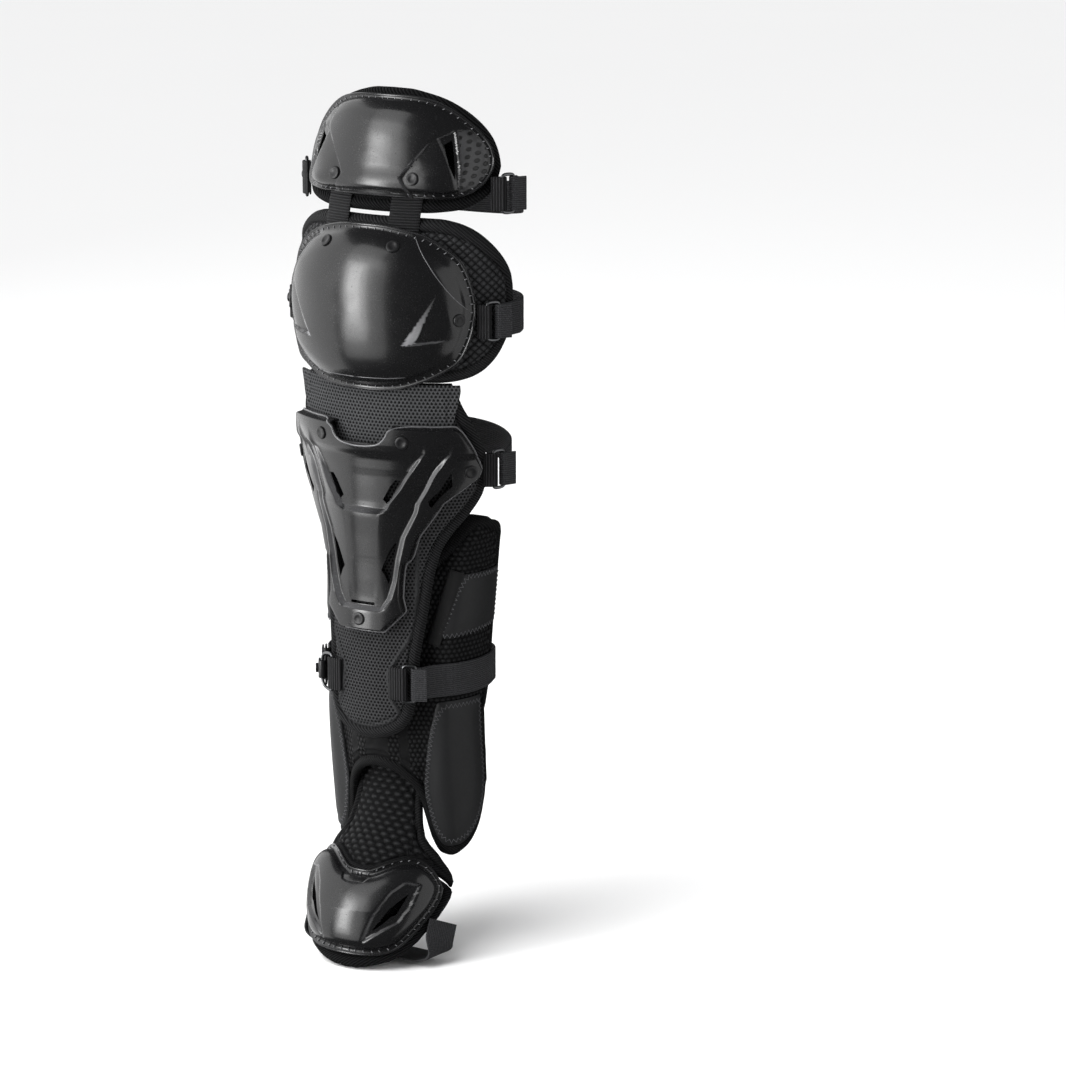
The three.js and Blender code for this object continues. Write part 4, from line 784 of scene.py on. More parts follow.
# Knee pad
# The widest pad. Its quilted wings reach round the sides of the knee, inside a twill-bound edge.
KNEE_PAD_LOW = 452.3
KNEE_PAD_HEIGHT = 124
KNEE_PAD_HALF = 126
knee_columns = [
    (0, 0, 1), (0.11, 0, 1), (0.22, 0, 1), (0.34, 0, 0.995), (0.45, 0, 0.99), (0.555, 0.008, 0.97),
    (0.64, 0.025, 0.94), (0.74, 0.065, 0.885), (0.84, 0.14, 0.81), (0.92, 0.24, 0.735),
    (0.975, 0.34, 0.66), (1, 0.44, 0.58),
]


def wing_quilting(a, b, edge):
    return 0.9 * diamonds(a, b, DIAMOND_WIDE, DIAMOND_TALL) + 1.1 * groove(edge, BINDING + 4, 0.9) - 0.5


def quilted(name, dark, light, wide, tall, border, depth):
    """Small padded diamonds welded into the cover, inside a twill edge."""
    cloth = Finish(name, light, 0.7, shine=0.12)
    a, b, edge = cloth.place()
    one = (a * (1 / wide) + b * (1 / tall)).wave(2)
    other = (a * (1 / wide) - b * (1 / tall)).wave(2)
    pillow = (one * other).math("ABSOLUTE").math("POWER", 0.6)
    inside = edge.between(border - 0.6, border + 0.4)
    relief = pillow * inside + (twill_wave(a, b) * 0.2 + 0.25) * (1 - inside)
    return cloth.weave(relief, dark, light, 0.78, 0.25, 0.1, depth)


knee_grid = column_grid(knee_columns, KNEE_PAD_HALF, KNEE_PAD_LOW, KNEE_PAD_HEIGHT, 190, 100)
wing_cloth = quilted(
    "wing_cloth", (0.001, 0.001, 0.0011), (0.03, 0.0305, 0.032), DIAMOND_WIDE / 2, DIAMOND_TALL / 2,
    BINDING, 1.5,
)
bound_pad("knee_pad_cover", on_leg, *knee_grid, PAD_THICKNESS, wing_quilting, finish=wing_cloth)

# Knee shell
# The big glossy cap, with a long fine crease and a slanting fin pressed into each side, laced round its
# rim and hung from the webs by its top rivets.
KNEE_SHELL_LOW = KNEE_PAD_LOW - 6
KNEE_SHELL_HEIGHT = 125
KNEE_SHELL_HALF = 88
KNEE_DOME = 13
knee_rows = [
    (0, 1), (0.2, 0.995), (0.39, 0.97), (0.56, 0.935), (0.73, 0.87), (0.87, 0.79), (0.965, 0.655),
    (1, 0.53), (0.985, 0.41), (0.94, 0.295), (0.86, 0.19), (0.72, 0.12), (0.56, 0.065), (0.38, 0.02),
    (0.19, 0.002), (0, 0),
]
knee_outline = cap_outline(knee_rows, KNEE_SHELL_HALF, KNEE_SHELL_LOW, KNEE_SHELL_HEIGHT, 440)
knee_cap = Cap(on_leg, knee_outline, (0, KNEE_SHELL_LOW + 0.5 * KNEE_SHELL_HEIGHT), KNEE_DOME, rings=66)
knee_fold = [(40, 564), (50, 549), (61, 533), (72, 519), (83, 508)]
fin_corners = np.array([(61.5, 525.5), (36, 483), (73.5, 488.5)])
FIN_DEPTH = 5.5
FIN_WALL = 0.66
FIN_LEDGE = 3
knee_ledge = [(0, 457), (24, 457.6), (38, 458.8)]
KNEE_TOP_RIVET = (27.3, 556.9)
KNEE_SIDE_RIVET = (75.2, 502.6)


def fin(a, b):
    """A three-cornered facet pressed in behind a slanting wall, deepest at its foot; with a painted highlight on
    the wall.
    """
    top, foot, side = fin_corners
    matrix = np.linalg.inv(np.c_[fin_corners, np.ones(3)].T)
    shares = np.einsum("ij,jkl->ikl", matrix, np.stack([a, b, np.ones(a.shape)]))
    doubled_area = abs(np.cross(side - top, foot - top))
    wall = FIN_WALL * shares[2] * doubled_area / math.dist(top, foot)
    ledge = FIN_LEDGE * shares[0] * doubled_area / math.dist(side, foot)
    floor = np.minimum(FIN_DEPTH * shares[1], ledge)
    relief = -np.clip(np.minimum(floor, wall), 0, None)
    polish = ease(-relief, 0.15, 0.5) * ease(shares[1], 0.05, 0.9) * (wall < floor)
    return relief, polish


reach_in = abs(knee_cap.a)
knee_bend = facet(reach_in, knee_cap.b, knee_fold[0], knee_fold[-1], 0.25, 24)
fin_relief, fin_painted_highlight = fin(reach_in, knee_cap.b)
knee_cap.shape(rim(knee_cap.edge) + knee_bend + fin_relief)
# The fin wall gets a strong painted highlight, standing in for the light it mirrors.
knee_cap.shares["polish"] = np.maximum(knee_cap.shares["polish"], 0.9 * fin_painted_highlight)
knee_cap.piece("knee_shell_skin", "knee_shell", gloss_shell)
ridges("knee_ridges", knee_cap, [knee_fold, knee_ledge])
lacing("knee_lacing", knee_cap, lace_thread)
rivet_pair("knee_rivet_top", knee_cap.a, knee_cap.b, knee_cap.height, *KNEE_TOP_RIVET)
rivet_pair("knee_rivet_side", knee_cap.a, knee_cap.b, knee_cap.height, *KNEE_SIDE_RIVET)

# Hinge webs
# Two strips of heavy ribbed webbing, riveted under the thigh shell and the knee shell, on which the
# thigh part folds.
WEB_SPREAD = 30
WEB_WIDTH = 24
WEB_THICKNESS = 1.6
WEB_SEAT = 0.6
WEB_ENDS = (549.9, 612.4)
webbing = Finish("webbing", (0.01, 0.01, 0.0106), 0.62, shine=0.15)
web_along, web_across, _ = webbing.place()
web_rib = web_along.wave(2.1)
web_yarn = web_across.wave(1.4)
# The ribs are painted lighter and the grooves between them darker: painted light and shade.
web_shade = webbing.blend(web_rib.between(-1, 1), (0.003, 0.003, 0.0033), (0.016, 0.016, 0.017))
webbing.feed("Base Color", web_shade)
webbing.bump(web_rib + web_yarn * 0.25 * web_rib.between(-0.2, 0.6), 0.35)


def hinge_web(side, sign):
    """One web; its ribs run across it, so the place that its mesh keeps is turned."""
    s = sign * (WEB_SPREAD + WEB_WIDTH * np.linspace(-0.5, 0.5, 15))
    a, b = np.meshgrid(s, np.linspace(*WEB_ENDS, 60))
    from_side = WEB_WIDTH / 2 - abs(abs(a) - WEB_SPREAD)
    top = WEB_SEAT + WEB_THICKNESS * (0.7 + 0.3 * ease(from_side, 0, 1.2))
    name = f"hinge_web_{side}_strip"
    web = sheet_piece(name, on_leg, a, b, top, WEB_SEAT, from_side, webbing.material, "webbing")
    turned = np.stack([b, a, from_side], -1).reshape(-1, 3)
    marks = np.concatenate([turned, turned]).astype(np.float32)
    web.data.attributes["place"].data.foreach_set("vector", marks.reshape(-1))
    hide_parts(f"hinge_web_{side}")


for side, sign in SIDES:
    hinge_web(side, sign)

# Shin pad
# The long pad down the shin: wide under the knee, narrow over the instep. Its cover is an open knitted
# mesh with a plain band at the foot, inside a twill-bound edge.
SHIN_PAD_LOW = 172
SHIN_PAD_HEIGHT = 280
SHIN_PAD_HALF = 101
shin_pad_rows = [
    (0, 0.06), (0.012, 0.2), (0.035, 0.31), (0.07, 0.38), (0.13, 0.425), (0.235, 0.445), (0.345, 0.495),
    (0.455, 0.545), (0.53, 0.605), (0.58, 0.7), (0.63, 0.84), (0.69, 0.96), (0.755, 1), (0.81, 0.96),
    (0.88, 0.86), (0.94, 0.76), (1, 0.69),
]
pad_up, pad_reach = np.array(shin_pad_rows).T
shin_pad_edge = through(SHIN_PAD_LOW + pad_up * SHIN_PAD_HEIGHT, pad_reach * SHIN_PAD_HALF)


ROW_SLANT = 0.577
ROW_RISE = 1.155


def open_mesh(name, dark, light, pitch, depth, border=0):
    """Knitted mesh with staggered round openings, inside a twill edge where it has a border."""
    cloth = Finish(name, light, 0.75, shine=0.08, sheen_weight=0.01, sheen_roughness=0.5)
    a, b, edge = cloth.place()
    quarter = pitch / 4
    slanted = (a + b * ROW_SLANT + quarter).wave(pitch) + (a * -1 + b * ROW_SLANT + quarter).wave(pitch)
    cells = slanted + (b * ROW_RISE + quarter).wave(pitch)
    yarn = 1 - cells.between(-0.9, 1.5)
    inside = edge.between(border - 0.6, border + 0.4) if border else 1
    relief = yarn * inside + twill_wave(a, b).between(-1, 1) * 0.5 * (1 - inside) if border else yarn
    plain = cloth.share("plain") * inside
    relief = relief * (1 - plain) + plain * 0.7
    return cloth.weave(relief, dark, light, 0.85, 0.2, 0.15, depth)


shin_mesh = open_mesh("shin_mesh", (0.0008, 0.0008, 0.0009), (0.032, 0.0324, 0.0336), 3.0, 0.7, BINDING)
shin_levels = SHIN_PAD_LOW + SHIN_PAD_HEIGHT * spread(230)
shin_a = shin_pad_edge(shin_levels)[:, None] * (2 * spread(92) - 1)
shin_b = np.broadcast_to(shin_levels[:, None], shin_a.shape)
piping_up, piping_out = np.array([(186, 34), (193, 30), (207, 22.5), (227, 20), (245, 30), (262, 41)]).T


def shin_piping(a, b):
    return groove(abs(a), np.interp(b, piping_up, piping_out), 1.5) * ease(b, 190, 196)


def shin_seams(a, b, edge):
    """Piped channels down the lower shin and a stitched row above its plain foot."""
    wide = 0.8 * diamonds(a, b, 30, 40) * ease(abs(a), 30, 60)
    return 1.8 * shin_piping(a, b) - 1.1 * groove(above_foot(a, b), 0, 0.8) + wide


def above_foot(a, b):
    """How far a place is above the bowed seam of the plain foot."""
    return b - FOOT_SEAM - 0.012 * (a + 2) ** 2


FOOT_SEAM = 185
shin_foot = 1 - ease(above_foot(shin_a, shin_b), -0.8, -0.2)
shin_plain = np.maximum(1.3 * shin_piping(shin_a, shin_b), 0.45 * shin_foot)
bound_pad(
    "shin_pad_cover", on_leg, shin_a, shin_b, PAD_THICKNESS, shin_seams, finish=shin_mesh,
    shares={"plain": shin_plain},
)

# Shin band
# A band of woven mesh tape across the top of the shin, tucked under both shells, so the knee can bend.
BAND_HALF = 76
BAND_THICKNESS = 1.8
SHIN_SHELL_LOW = SHIN_PAD_LOW + 87
SHIN_SHELL_HEIGHT = 161
SHIN_SHELL_HALF = 91
BAND_LOW = SHIN_SHELL_LOW + SHIN_SHELL_HEIGHT - 17
band_mesh = open_mesh("band_mesh", (0.0015, 0.0015, 0.0017), (0.05, 0.051, 0.053), 3.1, 0.7)
band_s = BAND_HALF * np.linspace(-1, 1, 150)
knee_foot_rows = np.array(knee_rows[:6:-1]) * (KNEE_SHELL_HALF, KNEE_SHELL_HEIGHT) + (0, KNEE_SHELL_LOW)
knee_rim_low = np.interp(abs(band_s), *knee_foot_rows.T)
band_high = np.minimum(knee_rim_low - 0.8, SHIN_PAD_LOW + SHIN_PAD_HEIGHT - 0.3)
band_low = mix(BAND_LOW, band_high, np.interp(abs(band_s) / BAND_HALF, [0.74, 0.87, 1], [0, 0.05, 0.9]))
band_b = mix(band_low, band_high, np.linspace(0, 1, 60)[:, None])
band_a = np.broadcast_to(band_s, band_b.shape)
fold_at = np.interp(band_b, [422, 452], [64.5, 61])
other_fold = np.interp(band_b, [422, 453], [65, 70])
band_folds = 0.5 * groove(abs(band_a), fold_at, 1) - 0.5 * groove(abs(band_a), other_fold, 1.2)
band_edge = np.minimum(band_b - band_low, band_high - band_b)
band_top = PIECE_SEAT + BAND_THICKNESS + band_folds - 0.6 * (1 - ease(band_edge, 0, 1.5))
band = sheet_piece(
    "shin_band_mesh", on_leg, band_a, band_b, band_top, PIECE_SEAT, band_edge, band_mesh, "mesh_cloth"
)
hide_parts("shin_band")

# Shin shell
# The long moulded plate: a raised frame round two sunken panels, its bevels made bright by a painted highlight,
# slanted vents and a slot over the ankle. It laps over the band, and five rivets hold it.
SHIN_RISE = 6.5
SHIN_STEP = 4.5
BEVEL_WIDTH = 3
shin_columns = ["up", "reach", "half", "inner", "outer", "dip_inner", "dip_middle", "dip_outer"]
shin_rows = np.array(
    [
        (0, 0.19, 0.05, 0.09, 0.12, 0, 0, 0),
        (0.013, 0.212, 0.05, 0.094, 0.128, 0, 0, 0),
        (0.04, 0.257, 0.05, 0.1, 0.14, 0, 0, 0),
        (0.105, 0.368, 0.05, 0.1, 0.155, 0, 0, 0),
        (0.125, 0.36, 0.05, 0.1, 0.175, 1, 1, 1),
        (0.17, 0.342, 0.05, 0.1, 0.225, 0.95, 0.9, 0.95),
        (0.25, 0.346, 0.05, 0.11, 0.264, 0.75, 0.75, 0.9),
        (0.335, 0.363, 0.05, 0.11, 0.286, 0.6, 0.6, 0.8),
        (0.36, 0.418, 0.05, 0.11, 0.292, 0.55, 0.55, 0.8),
        (0.47, 0.48, 0.06, 0.12, 0.335, 0.3, 0.3, 0.7),
        (0.575, 0.61, 0.07, 0.145, 0.423, 0, 0, 0.6),
        (0.6, 0.645, 0.1, 0.2, 0.44, 1, 0, 0.6),
        (0.63, 0.675, 0.11, 0.225, 0.45, 1, 0, 0.7),
        (0.7, 0.85, 0.155, 0.315, 0.52, 0.85, 0, 0.85),
        (0.755, 0.98, 0.185, 0.37, 0.565, 0.75, 0, 0.85),
        (0.79, 1, 0.205, 0.41, 0.6, 0.6, 0, 0.75),
        (0.875, 0.935, 0.255, 0.51, 0.71, 0.35, 0, 0.35),
        (0.91, 0.905, 0.26, 0.52, 0.73, 0.1, 0, 0.2),
        (0.935, 0.88, 0.27, 0.54, 0.72, 0, 0, 0.05),
        (0.97, 0.843, 0.28, 0.54, 0.7, 0, 0, 0),
        (0.988, 0.813, 0.28, 0.53, 0.68, 0, 0, 0),
        (1, 0.79, 0.28, 0.52, 0.67, 0, 0, 0),
    ],
    dtype=[(name, float) for name in shin_columns],
)


def shin_section(row):
    """Places across one level of the shell, and how far the skin stands off there."""
    reach, half, inner, outer = [row[name] * SHIN_SHELL_HALF for name in ("reach", "half", "inner", "outer")]
    dips = [-row[name] * SHIN_STEP for name in ("dip_inner", "dip_middle", "dip_outer")]
    spots = [
        (0, dips[0]),
        (half, dips[0]),
        (inner, dips[0]),
        (min(inner + BEVEL_WIDTH, mix(inner, outer, 0.4)), dips[1]),
        (mix(inner + BEVEL_WIDTH, outer, 0.55), mix(dips[1], dips[2], 0.55)),
        (outer, dips[2]),
        (min(outer + BEVEL_WIDTH, mix(outer, reach, 0.5)), 0),
        (reach - BEVEL_WIDTH, 0),
        (reach, -SHIN_RISE),
    ]
    flat = row["up"] in (0, 1)
    return np.array([(s, 0 if flat else SHIN_RISE + rise) for s, rise in spots])


def finer(values, count, axis=0):
    """Straight steps between table rows."""
    places = np.arange(values.shape[axis])
    fine = np.linspace(0, places[-1], places[-1] * count + 1)
    low = np.minimum(fine.astype(int), places[-1] - 1)
    share = (fine - low).reshape([-1 if i == axis else 1 for i in range(values.ndim)])
    return mix(values.take(low, axis), values.take(low + 1, axis), share)


def softened(values):
    """Rounds the folds of a height field a little, leaving its border alone."""
    values = values.copy()
    for _ in range(3):
        near = values[:-2, 1:-1] + values[2:, 1:-1] + values[1:-1, :-2] + values[1:-1, 2:]
        values[1:-1, 1:-1] = 0.5 * values[1:-1, 1:-1] + 0.125 * near
    return values


sections = np.array([shin_section(row) for row in shin_rows])
sections = np.concatenate([sections[:, :0:-1] * (-1, 1), sections], 1)
sections = finer(finer(sections, 9), 7, axis=1)
levels = finer(SHIN_SHELL_LOW + shin_rows["up"] * SHIN_SHELL_HEIGHT, 9)
plate_a = sections[..., 0]
plate_b = np.broadcast_to(levels[:, None], plate_a.shape)


pad_top = SHIN_PAD_LOW + SHIN_PAD_HEIGHT
over_band = ease(plate_b, BAND_LOW - 9, BAND_LOW - 2) * (1 - ease(plate_b, pad_top, pad_top + 7))
plate_seat = PIECE_SEAT + (BAND_THICKNESS + 0.3) * over_band
plate_top = plate_seat + SHELL_WALL + softened(sections[..., 1])
plate_edge = edge_distance(plate_a, plate_b)
# Painted highlight on the plate's steep bevels, kept off its border.
plate_painted_highlight = 0.15 * ease(steepness(plate_a, plate_b, sections[..., 1]), 0.5, 1.4) * ease(plate_edge, 4, 6)
shin_plate = (plate_a, plate_b, plate_top)
shin_shell = sheet_piece(
    "shin_shell_skin", on_leg, *shin_plate, plate_top - SHELL_WALL, plate_edge, gloss_shell, "gloss_shell",
    {"polish": plate_painted_highlight},
)
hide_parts("shin_shell")


def shin_place(corners):
    return [(s * SHIN_SHELL_HALF, SHIN_SHELL_LOW + up * SHIN_SHELL_HEIGHT) for s, up in corners]


shin_vents = [
    shin_place([(0.34, 0.739), (0.297, 0.742), (0.187, 0.643), (0.22, 0.624)]),
    shin_place([(0.736, 0.783), (0.736, 0.714), (0.571, 0.615), (0.549, 0.646)]),
    shin_place([(0.297, 0.447), (0.17, 0.302), (0.23, 0.239)]),
]
shin_slot = shin_place([(-0.11, 0.128), (0.11, 0.128), (0.11, 0.142), (-0.11, 0.142)])
notch_line = [(-0.28, 0.99), (-0.18, 0.915), (0.18, 0.915), (0.28, 0.99)]
shin_notch = shin_place([*notch_line, (0.29, 1.1), (-0.29, 1.1)])
for corners in (shin_slot, shin_notch, *shin_vents, *map(mirrored, shin_vents)):
    cut(shin_shell, on_leg, corners)

left_side, right_side = [np.stack([plate_a[:, j], plate_b[:, j]], -1) for j in (0, -1)]
left_corner, right_corner = shin_place([(-0.29, 1), (0.29, 1)])
notch_edge = smooth_line(shin_place(notch_line), 40)
plate_rim = [
    left_side[::-1],
    np.linspace(left_side[0], right_side[0], 16),
    right_side,
    np.linspace(right_side[-1], right_corner, 12),
    notch_edge[::-1],
    np.linspace(left_corner, left_side[-1], 12),
]
plate_rim = smooth_line(np.concatenate([part[1:] for part in plate_rim])[::4], 420, closed=True)
rim_height = skin_height(*shin_plate, plate_rim)
bead_line = on_leg(*plate_rim.T, rim_height - 0.5)
# The rim bead is drawn in the paler plastic, a painted highlight round the plate.
line_piece("shin_rim_bead", [bead_line], 0.9, painted_bright_bead, closed=True)
top_rivet, side_rivet, bottom_rivet = shin_place([(0.37, 0.93), (0.885, 0.785), (0, 0.062)])
rivet_pair("shin_rivet_top", *shin_plate, *top_rivet)
rivet_pair("shin_rivet_side", *shin_plate, *side_rivet)
rivet("shin_rivet_bottom", *shin_plate, bottom_rivet)

# Liner
# One padded sheet behind the shin pad: an arch over the instep and wings that wrap the calf and the
# ankle, quilted in channels and bound with twill all round.
LINER_THICKNESS = 5
LINER_HALF = 131
LINER_LOW = 146
LINER_HEIGHT = 201
CALF_FLARE = 11
ANKLE_FLARE = 8
LINER_SEAM = 9
liner_columns = [
    (0, 0, 0.767), (0.11, -0.012, 0.767), (0.206, -0.045, 0.767), (0.298, -0.109, 0.771), (0.328, -0.179, 0.781),
    (0.374, -0.289, 0.806), (0.427, -0.343, 0.836), (0.489, -0.353, 0.876), (0.588, -0.328, 0.94),
    (0.702, -0.259, 0.995), (0.794, -0.149, 0.985), (0.828, -0.08, 0.974), (0.8435, 0.174, 0.968),
    (0.9, 0.234, 0.958), (0.954, 0.299, 0.94), (1, 0.378, 0.905),
]


def liner_face(a, b):
    """The front face of the liner: behind the shin pad, and flared round the calf and ankle."""
    start = np.maximum(shin_pad_edge(b), 0.425 * SHIN_PAD_HALF)
    flare = mix(ANKLE_FLARE, CALF_FLARE, ease(b, LINER_LOW, LINER_LOW + LINER_HEIGHT))
    return -PAD_THICKNESS - PIECE_SEAT + flare * ease(abs(a), start + 1, start + 26)


def liner_seams(a, b, edge):
    """Curved channels over the calf, straight ones round the ankle."""
    calf = ease(b, 255, 262)
    bent = b + 0.004 * (abs(a) - 40) ** 2
    channels = calf * (1.5 * abs(np.sin(np.pi * bent / 9)) - 0.8)
    ankle = (1 - calf) * 0.6 * (diamonds(a, b, 17, 17) - 0.4)
    return channels + ankle + 1.2 * groove(edge, LINER_SEAM + 6, 1)


liner_grid = column_grid(liner_columns, LINER_HALF, LINER_LOW, LINER_HEIGHT, 190, 104)


def on_liner(a, b, n):
    return on_leg(a, b, liner_face(a, b) + n)


def scaled(name, dark, light, wide, tall, border, depth):
    """Rows of small raised scales, set like bricks, inside a twill edge."""
    cloth = Finish(name, light, 0.7, shine=0.12)
    a, b, edge = cloth.place()
    rows = b * (1 / tall)
    odd = rows.math("FLOOR") * 0.5
    aside = (a * (1 / wide) + odd).math("FRACT") - 0.5
    up = rows.math("FRACT") - 0.5
    scale = 1 - (aside * aside * 1.2 + up * up).math("SQRT").between(0.1, 0.6)
    inside = edge.between(border - 0.6, border + 0.4)
    twill = twill_wave(a, b) * 0.2 + 0.25
    plain = cloth.share("plain") * inside
    relief = (scale * inside + twill * (1 - inside)) * (1 - plain) + plain * 0.3
    return cloth.weave(relief, dark, light, 0.8, 0.25, 0.1, depth)


def liner_plain(a, b):
    """Smooth tapes down the front of the ankle, between strips of scaled mesh."""
    strip = ease(abs(a), 12.5, 13) * (1 - ease(abs(a), 24, 24.5))
    return (1 - strip) * (1 - ease(abs(a), 33, 34)) * (1 - ease(b, 200, 204))


liner_cloth = scaled("liner_cloth", (0.0008, 0.0008, 0.0009), (0.012, 0.0122, 0.0128), 4.6, 3.8, LINER_SEAM, 0.9)
bound_pad(
    "liner_cover", on_liner, *liner_grid, LINER_THICKNESS, liner_seams, finish=liner_cloth, border=LINER_SEAM,
    shares={"plain": liner_plain(*liner_grid)},
)

# Wing panels
# Smooth coated cloth sewn on the calf wings and the ankle wings with a zigzag chain stitch.
PANEL_THICKNESS = 1.2
PANEL_SEAT = 1
PANEL_SINK = 0.4
panel_film = Finish("panel_film", (0.009, 0.0092, 0.0098), 0.5, shine=0.25)
panel_grain = panel_film.noise(500, 4)
panel_film.feed("Roughness", 0.42 + panel_grain * 0.2)
panel_film.bump(panel_grain, 0.08)
seam_thread = Finish("seam_thread", (0.075, 0.076, 0.08), 0.6, shine=0.2).material
calf_panel = [
    (0.46, 0.53, 0.55), (0.53, 0.532, 0.66), (0.6, 0.536, 0.772), (0.69, 0.54, 0.772), (0.78, 0.545, 0.772),
    (0.87, 0.55, 0.772), (0.945, 0.555, 0.772),
]
ankle_panel = [
    (0.345, -0.11, -0.05), (0.385, -0.24, 0.1), (0.43, -0.3, 0.21), (0.46, -0.31, 0.275), (0.535, -0.305, 0.28),
    (0.61, -0.28, 0.28), (0.69, -0.225, 0.28), (0.75, -0.15, 0.28), (0.785, -0.05, 0.28),
]
ZIGZAG_STEP = 1.9
ZIGZAG_HALF = 1.6


def wing_panel(name, columns, sign):
    """A panel from a table of columns: share of the liner's half width, lower and upper edge there."""
    across, low, high = np.array(columns).T
    s = np.linspace(across[0], across[-1], 46)
    b = LINER_LOW + LINER_HEIGHT * mix(through(across, low)(s), through(across, high)(s), spread(40)[:, None])
    a = np.broadcast_to(sign * s * LINER_HALF, b.shape)
    edge = edge_distance(a, b)
    top = PANEL_SEAT + PANEL_THICKNESS * (0.4 + 0.6 * ease(edge, 0, 1.4)) + 0.9 * ease(edge, 2, 14)
    base = PANEL_SEAT - PANEL_SINK
    panel = sheet_piece(f"{name}_film", on_liner, a, b, top, base, edge, panel_film.material, "panel_film")
    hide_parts(name)
    border = border_of(np.stack([a, b], -1))
    border = border + (border.mean(0) - border) * 0.07
    length = np.linalg.norm(np.roll(border, -1, 0) - border, axis=1).sum()
    line = smooth_line(border[::6], 2 * int(length / ZIGZAG_STEP / 2), closed=True)
    run = np.roll(line, -1, 0) - np.roll(line, 1, 0)
    run /= np.linalg.norm(run, axis=1)[:, None]
    swing = ZIGZAG_HALF * (-1) ** np.arange(len(line))
    line = line + swing[:, None] * run[:, ::-1] * (-1, 1)
    stitches = [on_liner(*line.T, PANEL_SEAT + PANEL_THICKNESS + 0.15)]
    line_piece(f"{name}_stitches", stitches, 0.32, seam_thread, closed=True)


TAPE_WIDTH = 10.5
TAPE_THICKNESS = 0.8
tape_cloth = Finish("tape_cloth", (0.004, 0.004, 0.0043), 0.6, shine=0.3)
tape_cloth.bump(tape_cloth.place()[1].wave(0.9), 0.06)


def calf_tape(side, sign):
    """A folded tape along the slanted front edge of a calf panel."""
    low = np.array([(calf_panel[0][0] - 0.036) * LINER_HALF, LINER_LOW + 0.5 * LINER_HEIGHT])
    high = np.array([(calf_panel[2][0] - 0.036) * LINER_HALF, LINER_LOW + 0.785 * LINER_HEIGHT])
    length = math.dist(low, high)
    along = (high - low) / length
    u, v = np.meshgrid(np.linspace(-0.5, 0.5, 11) * TAPE_WIDTH, np.linspace(0, length, 60))
    a = sign * (low[0] + along[0] * v + along[1] * u)
    b = low[1] + along[1] * v - along[0] * u
    edge = edge_distance(a, b)
    top = PANEL_SEAT + 0.9 + TAPE_THICKNESS * (0.4 + 0.6 * ease(edge, 0, 1))
    base = PANEL_SEAT - PANEL_SINK
    tape = sheet_piece(f"calf_tape_{side}", on_liner, a, b, top, base, edge, tape_cloth.material, "panel_film")


for side, sign in SIDES:
    wing_panel(f"calf_panel_{side}", calf_panel, sign)
    wing_panel(f"ankle_panel_{side}", ankle_panel, sign)
    calf_tape(side, sign)

# Foot flap
# A mesh-covered padded tongue that hangs inside the liner's arch and covers the instep and the sides of
# the foot. It bends where it meets the toe pad.
FLAP_TOP = 153
FLAP_REACH = 62
FLAP_THICKNESS = 5
FLAP_HALF = 76
TOE_PAD_HALF = 79
foot_sections = np.array(
    [
        (1.0, 0.0, 0.0), (0.905, 0.0, 0.0), (0.686, 0.13, 0.4), (0.47, 0.52, 0.85), (0.274, 0.77, 1.0),
        (0.078, 0.94, 1.0), (-0.013, 1.0, 1.0),
    ]
)
flap_back = leg_front(FLAP_TOP) + PAD_THICKNESS + LINER_THICKNESS + 6.6
foot_line = np.stack([flap_back - foot_sections[:, 1] * FLAP_REACH, foot_sections[:, 0] * FLAP_TOP], -1)
foot_lengths = np.concatenate([[0], np.cumsum(np.linalg.norm(np.diff(foot_line, axis=0), axis=1))])
FOOT_LENGTH = foot_lengths[-1]
foot_y = through(foot_lengths, foot_line[:, 0])
foot_z = through(foot_lengths, foot_line[:, 1])
foot_round = through(foot_lengths, mix(54, 66, foot_sections[:, 2]))


def on_foot(s, t, n):
    """A place on the foot: s across from its middle line, t down the foot, n out from it."""
    s, t, n = np.broadcast_arrays(np.asarray(s, float), t, n)
    fall_y = foot_y(t + 0.5) - foot_y(t - 0.5)
    fall_z = foot_z(t + 0.5) - foot_z(t - 0.5)
    fall = np.hypot(fall_y, fall_z)
    radius = foot_round(t)
    out = (radius + n) * np.cos(s / radius) - radius
    x = (radius + n) * np.sin(s / radius)
    return into_frame(np.stack([x, foot_y(t) + fall_z / fall * out, foot_z(t) - fall_y / fall * out], -1))


joint_rows = [
    (0, 0.567), (0.127, 0.56), (0.24, 0.527), (0.354, 0.486), (0.48, 0.452), (0.6, 0.45), (0.76, 0.456),
    (0.886, 0.461), (0.975, 0.479), (1, 0.514),
]
joint_across, joint_along = np.array(joint_rows).T


def joint_at(s):
    return np.interp(abs(s), joint_across * TOE_PAD_HALF, joint_along * FOOT_LENGTH)


flap_rows = [
    (0, 0), (0.17, 0), (0.33, 0), (0.4, 0), (0.43, 0.2), (0.475, 0.29), (0.53, 0.33), (0.6, 0.35), (0.66, 0.36),
    (0.72, 0.37), (0.79, 0.385), (0.88, 0.4), (0.947, 0.415), (1, 0.44),
]


def foot_grid(table_across, lows, highs, half, across, up):
    """A grid on the foot, between two edges that are given along it."""
    s = half * (2 * spread(across) - 1)
    low = np.interp(abs(s) / half, table_across, lows)
    high = np.interp(abs(s) / half, table_across, highs)
    b = mix(low, high, spread(up)[:, None])
    return np.broadcast_to(s, b.shape), b


flap_across, flap_low = np.array(flap_rows).T
flap_high = joint_at(flap_across * FLAP_HALF)
flap_grid = foot_grid(flap_across, flap_low * FOOT_LENGTH, flap_high, FLAP_HALF, 180, 130)
SCALE_WIDE = 8.5
SCALE_TALL = 4.6
FLAP_BINDING = 6.5
flap_mesh = scaled(
    "flap_mesh", (0.0008, 0.0008, 0.0009), (0.01, 0.0102, 0.0108), SCALE_WIDE, SCALE_TALL, FLAP_BINDING, 0.9
)


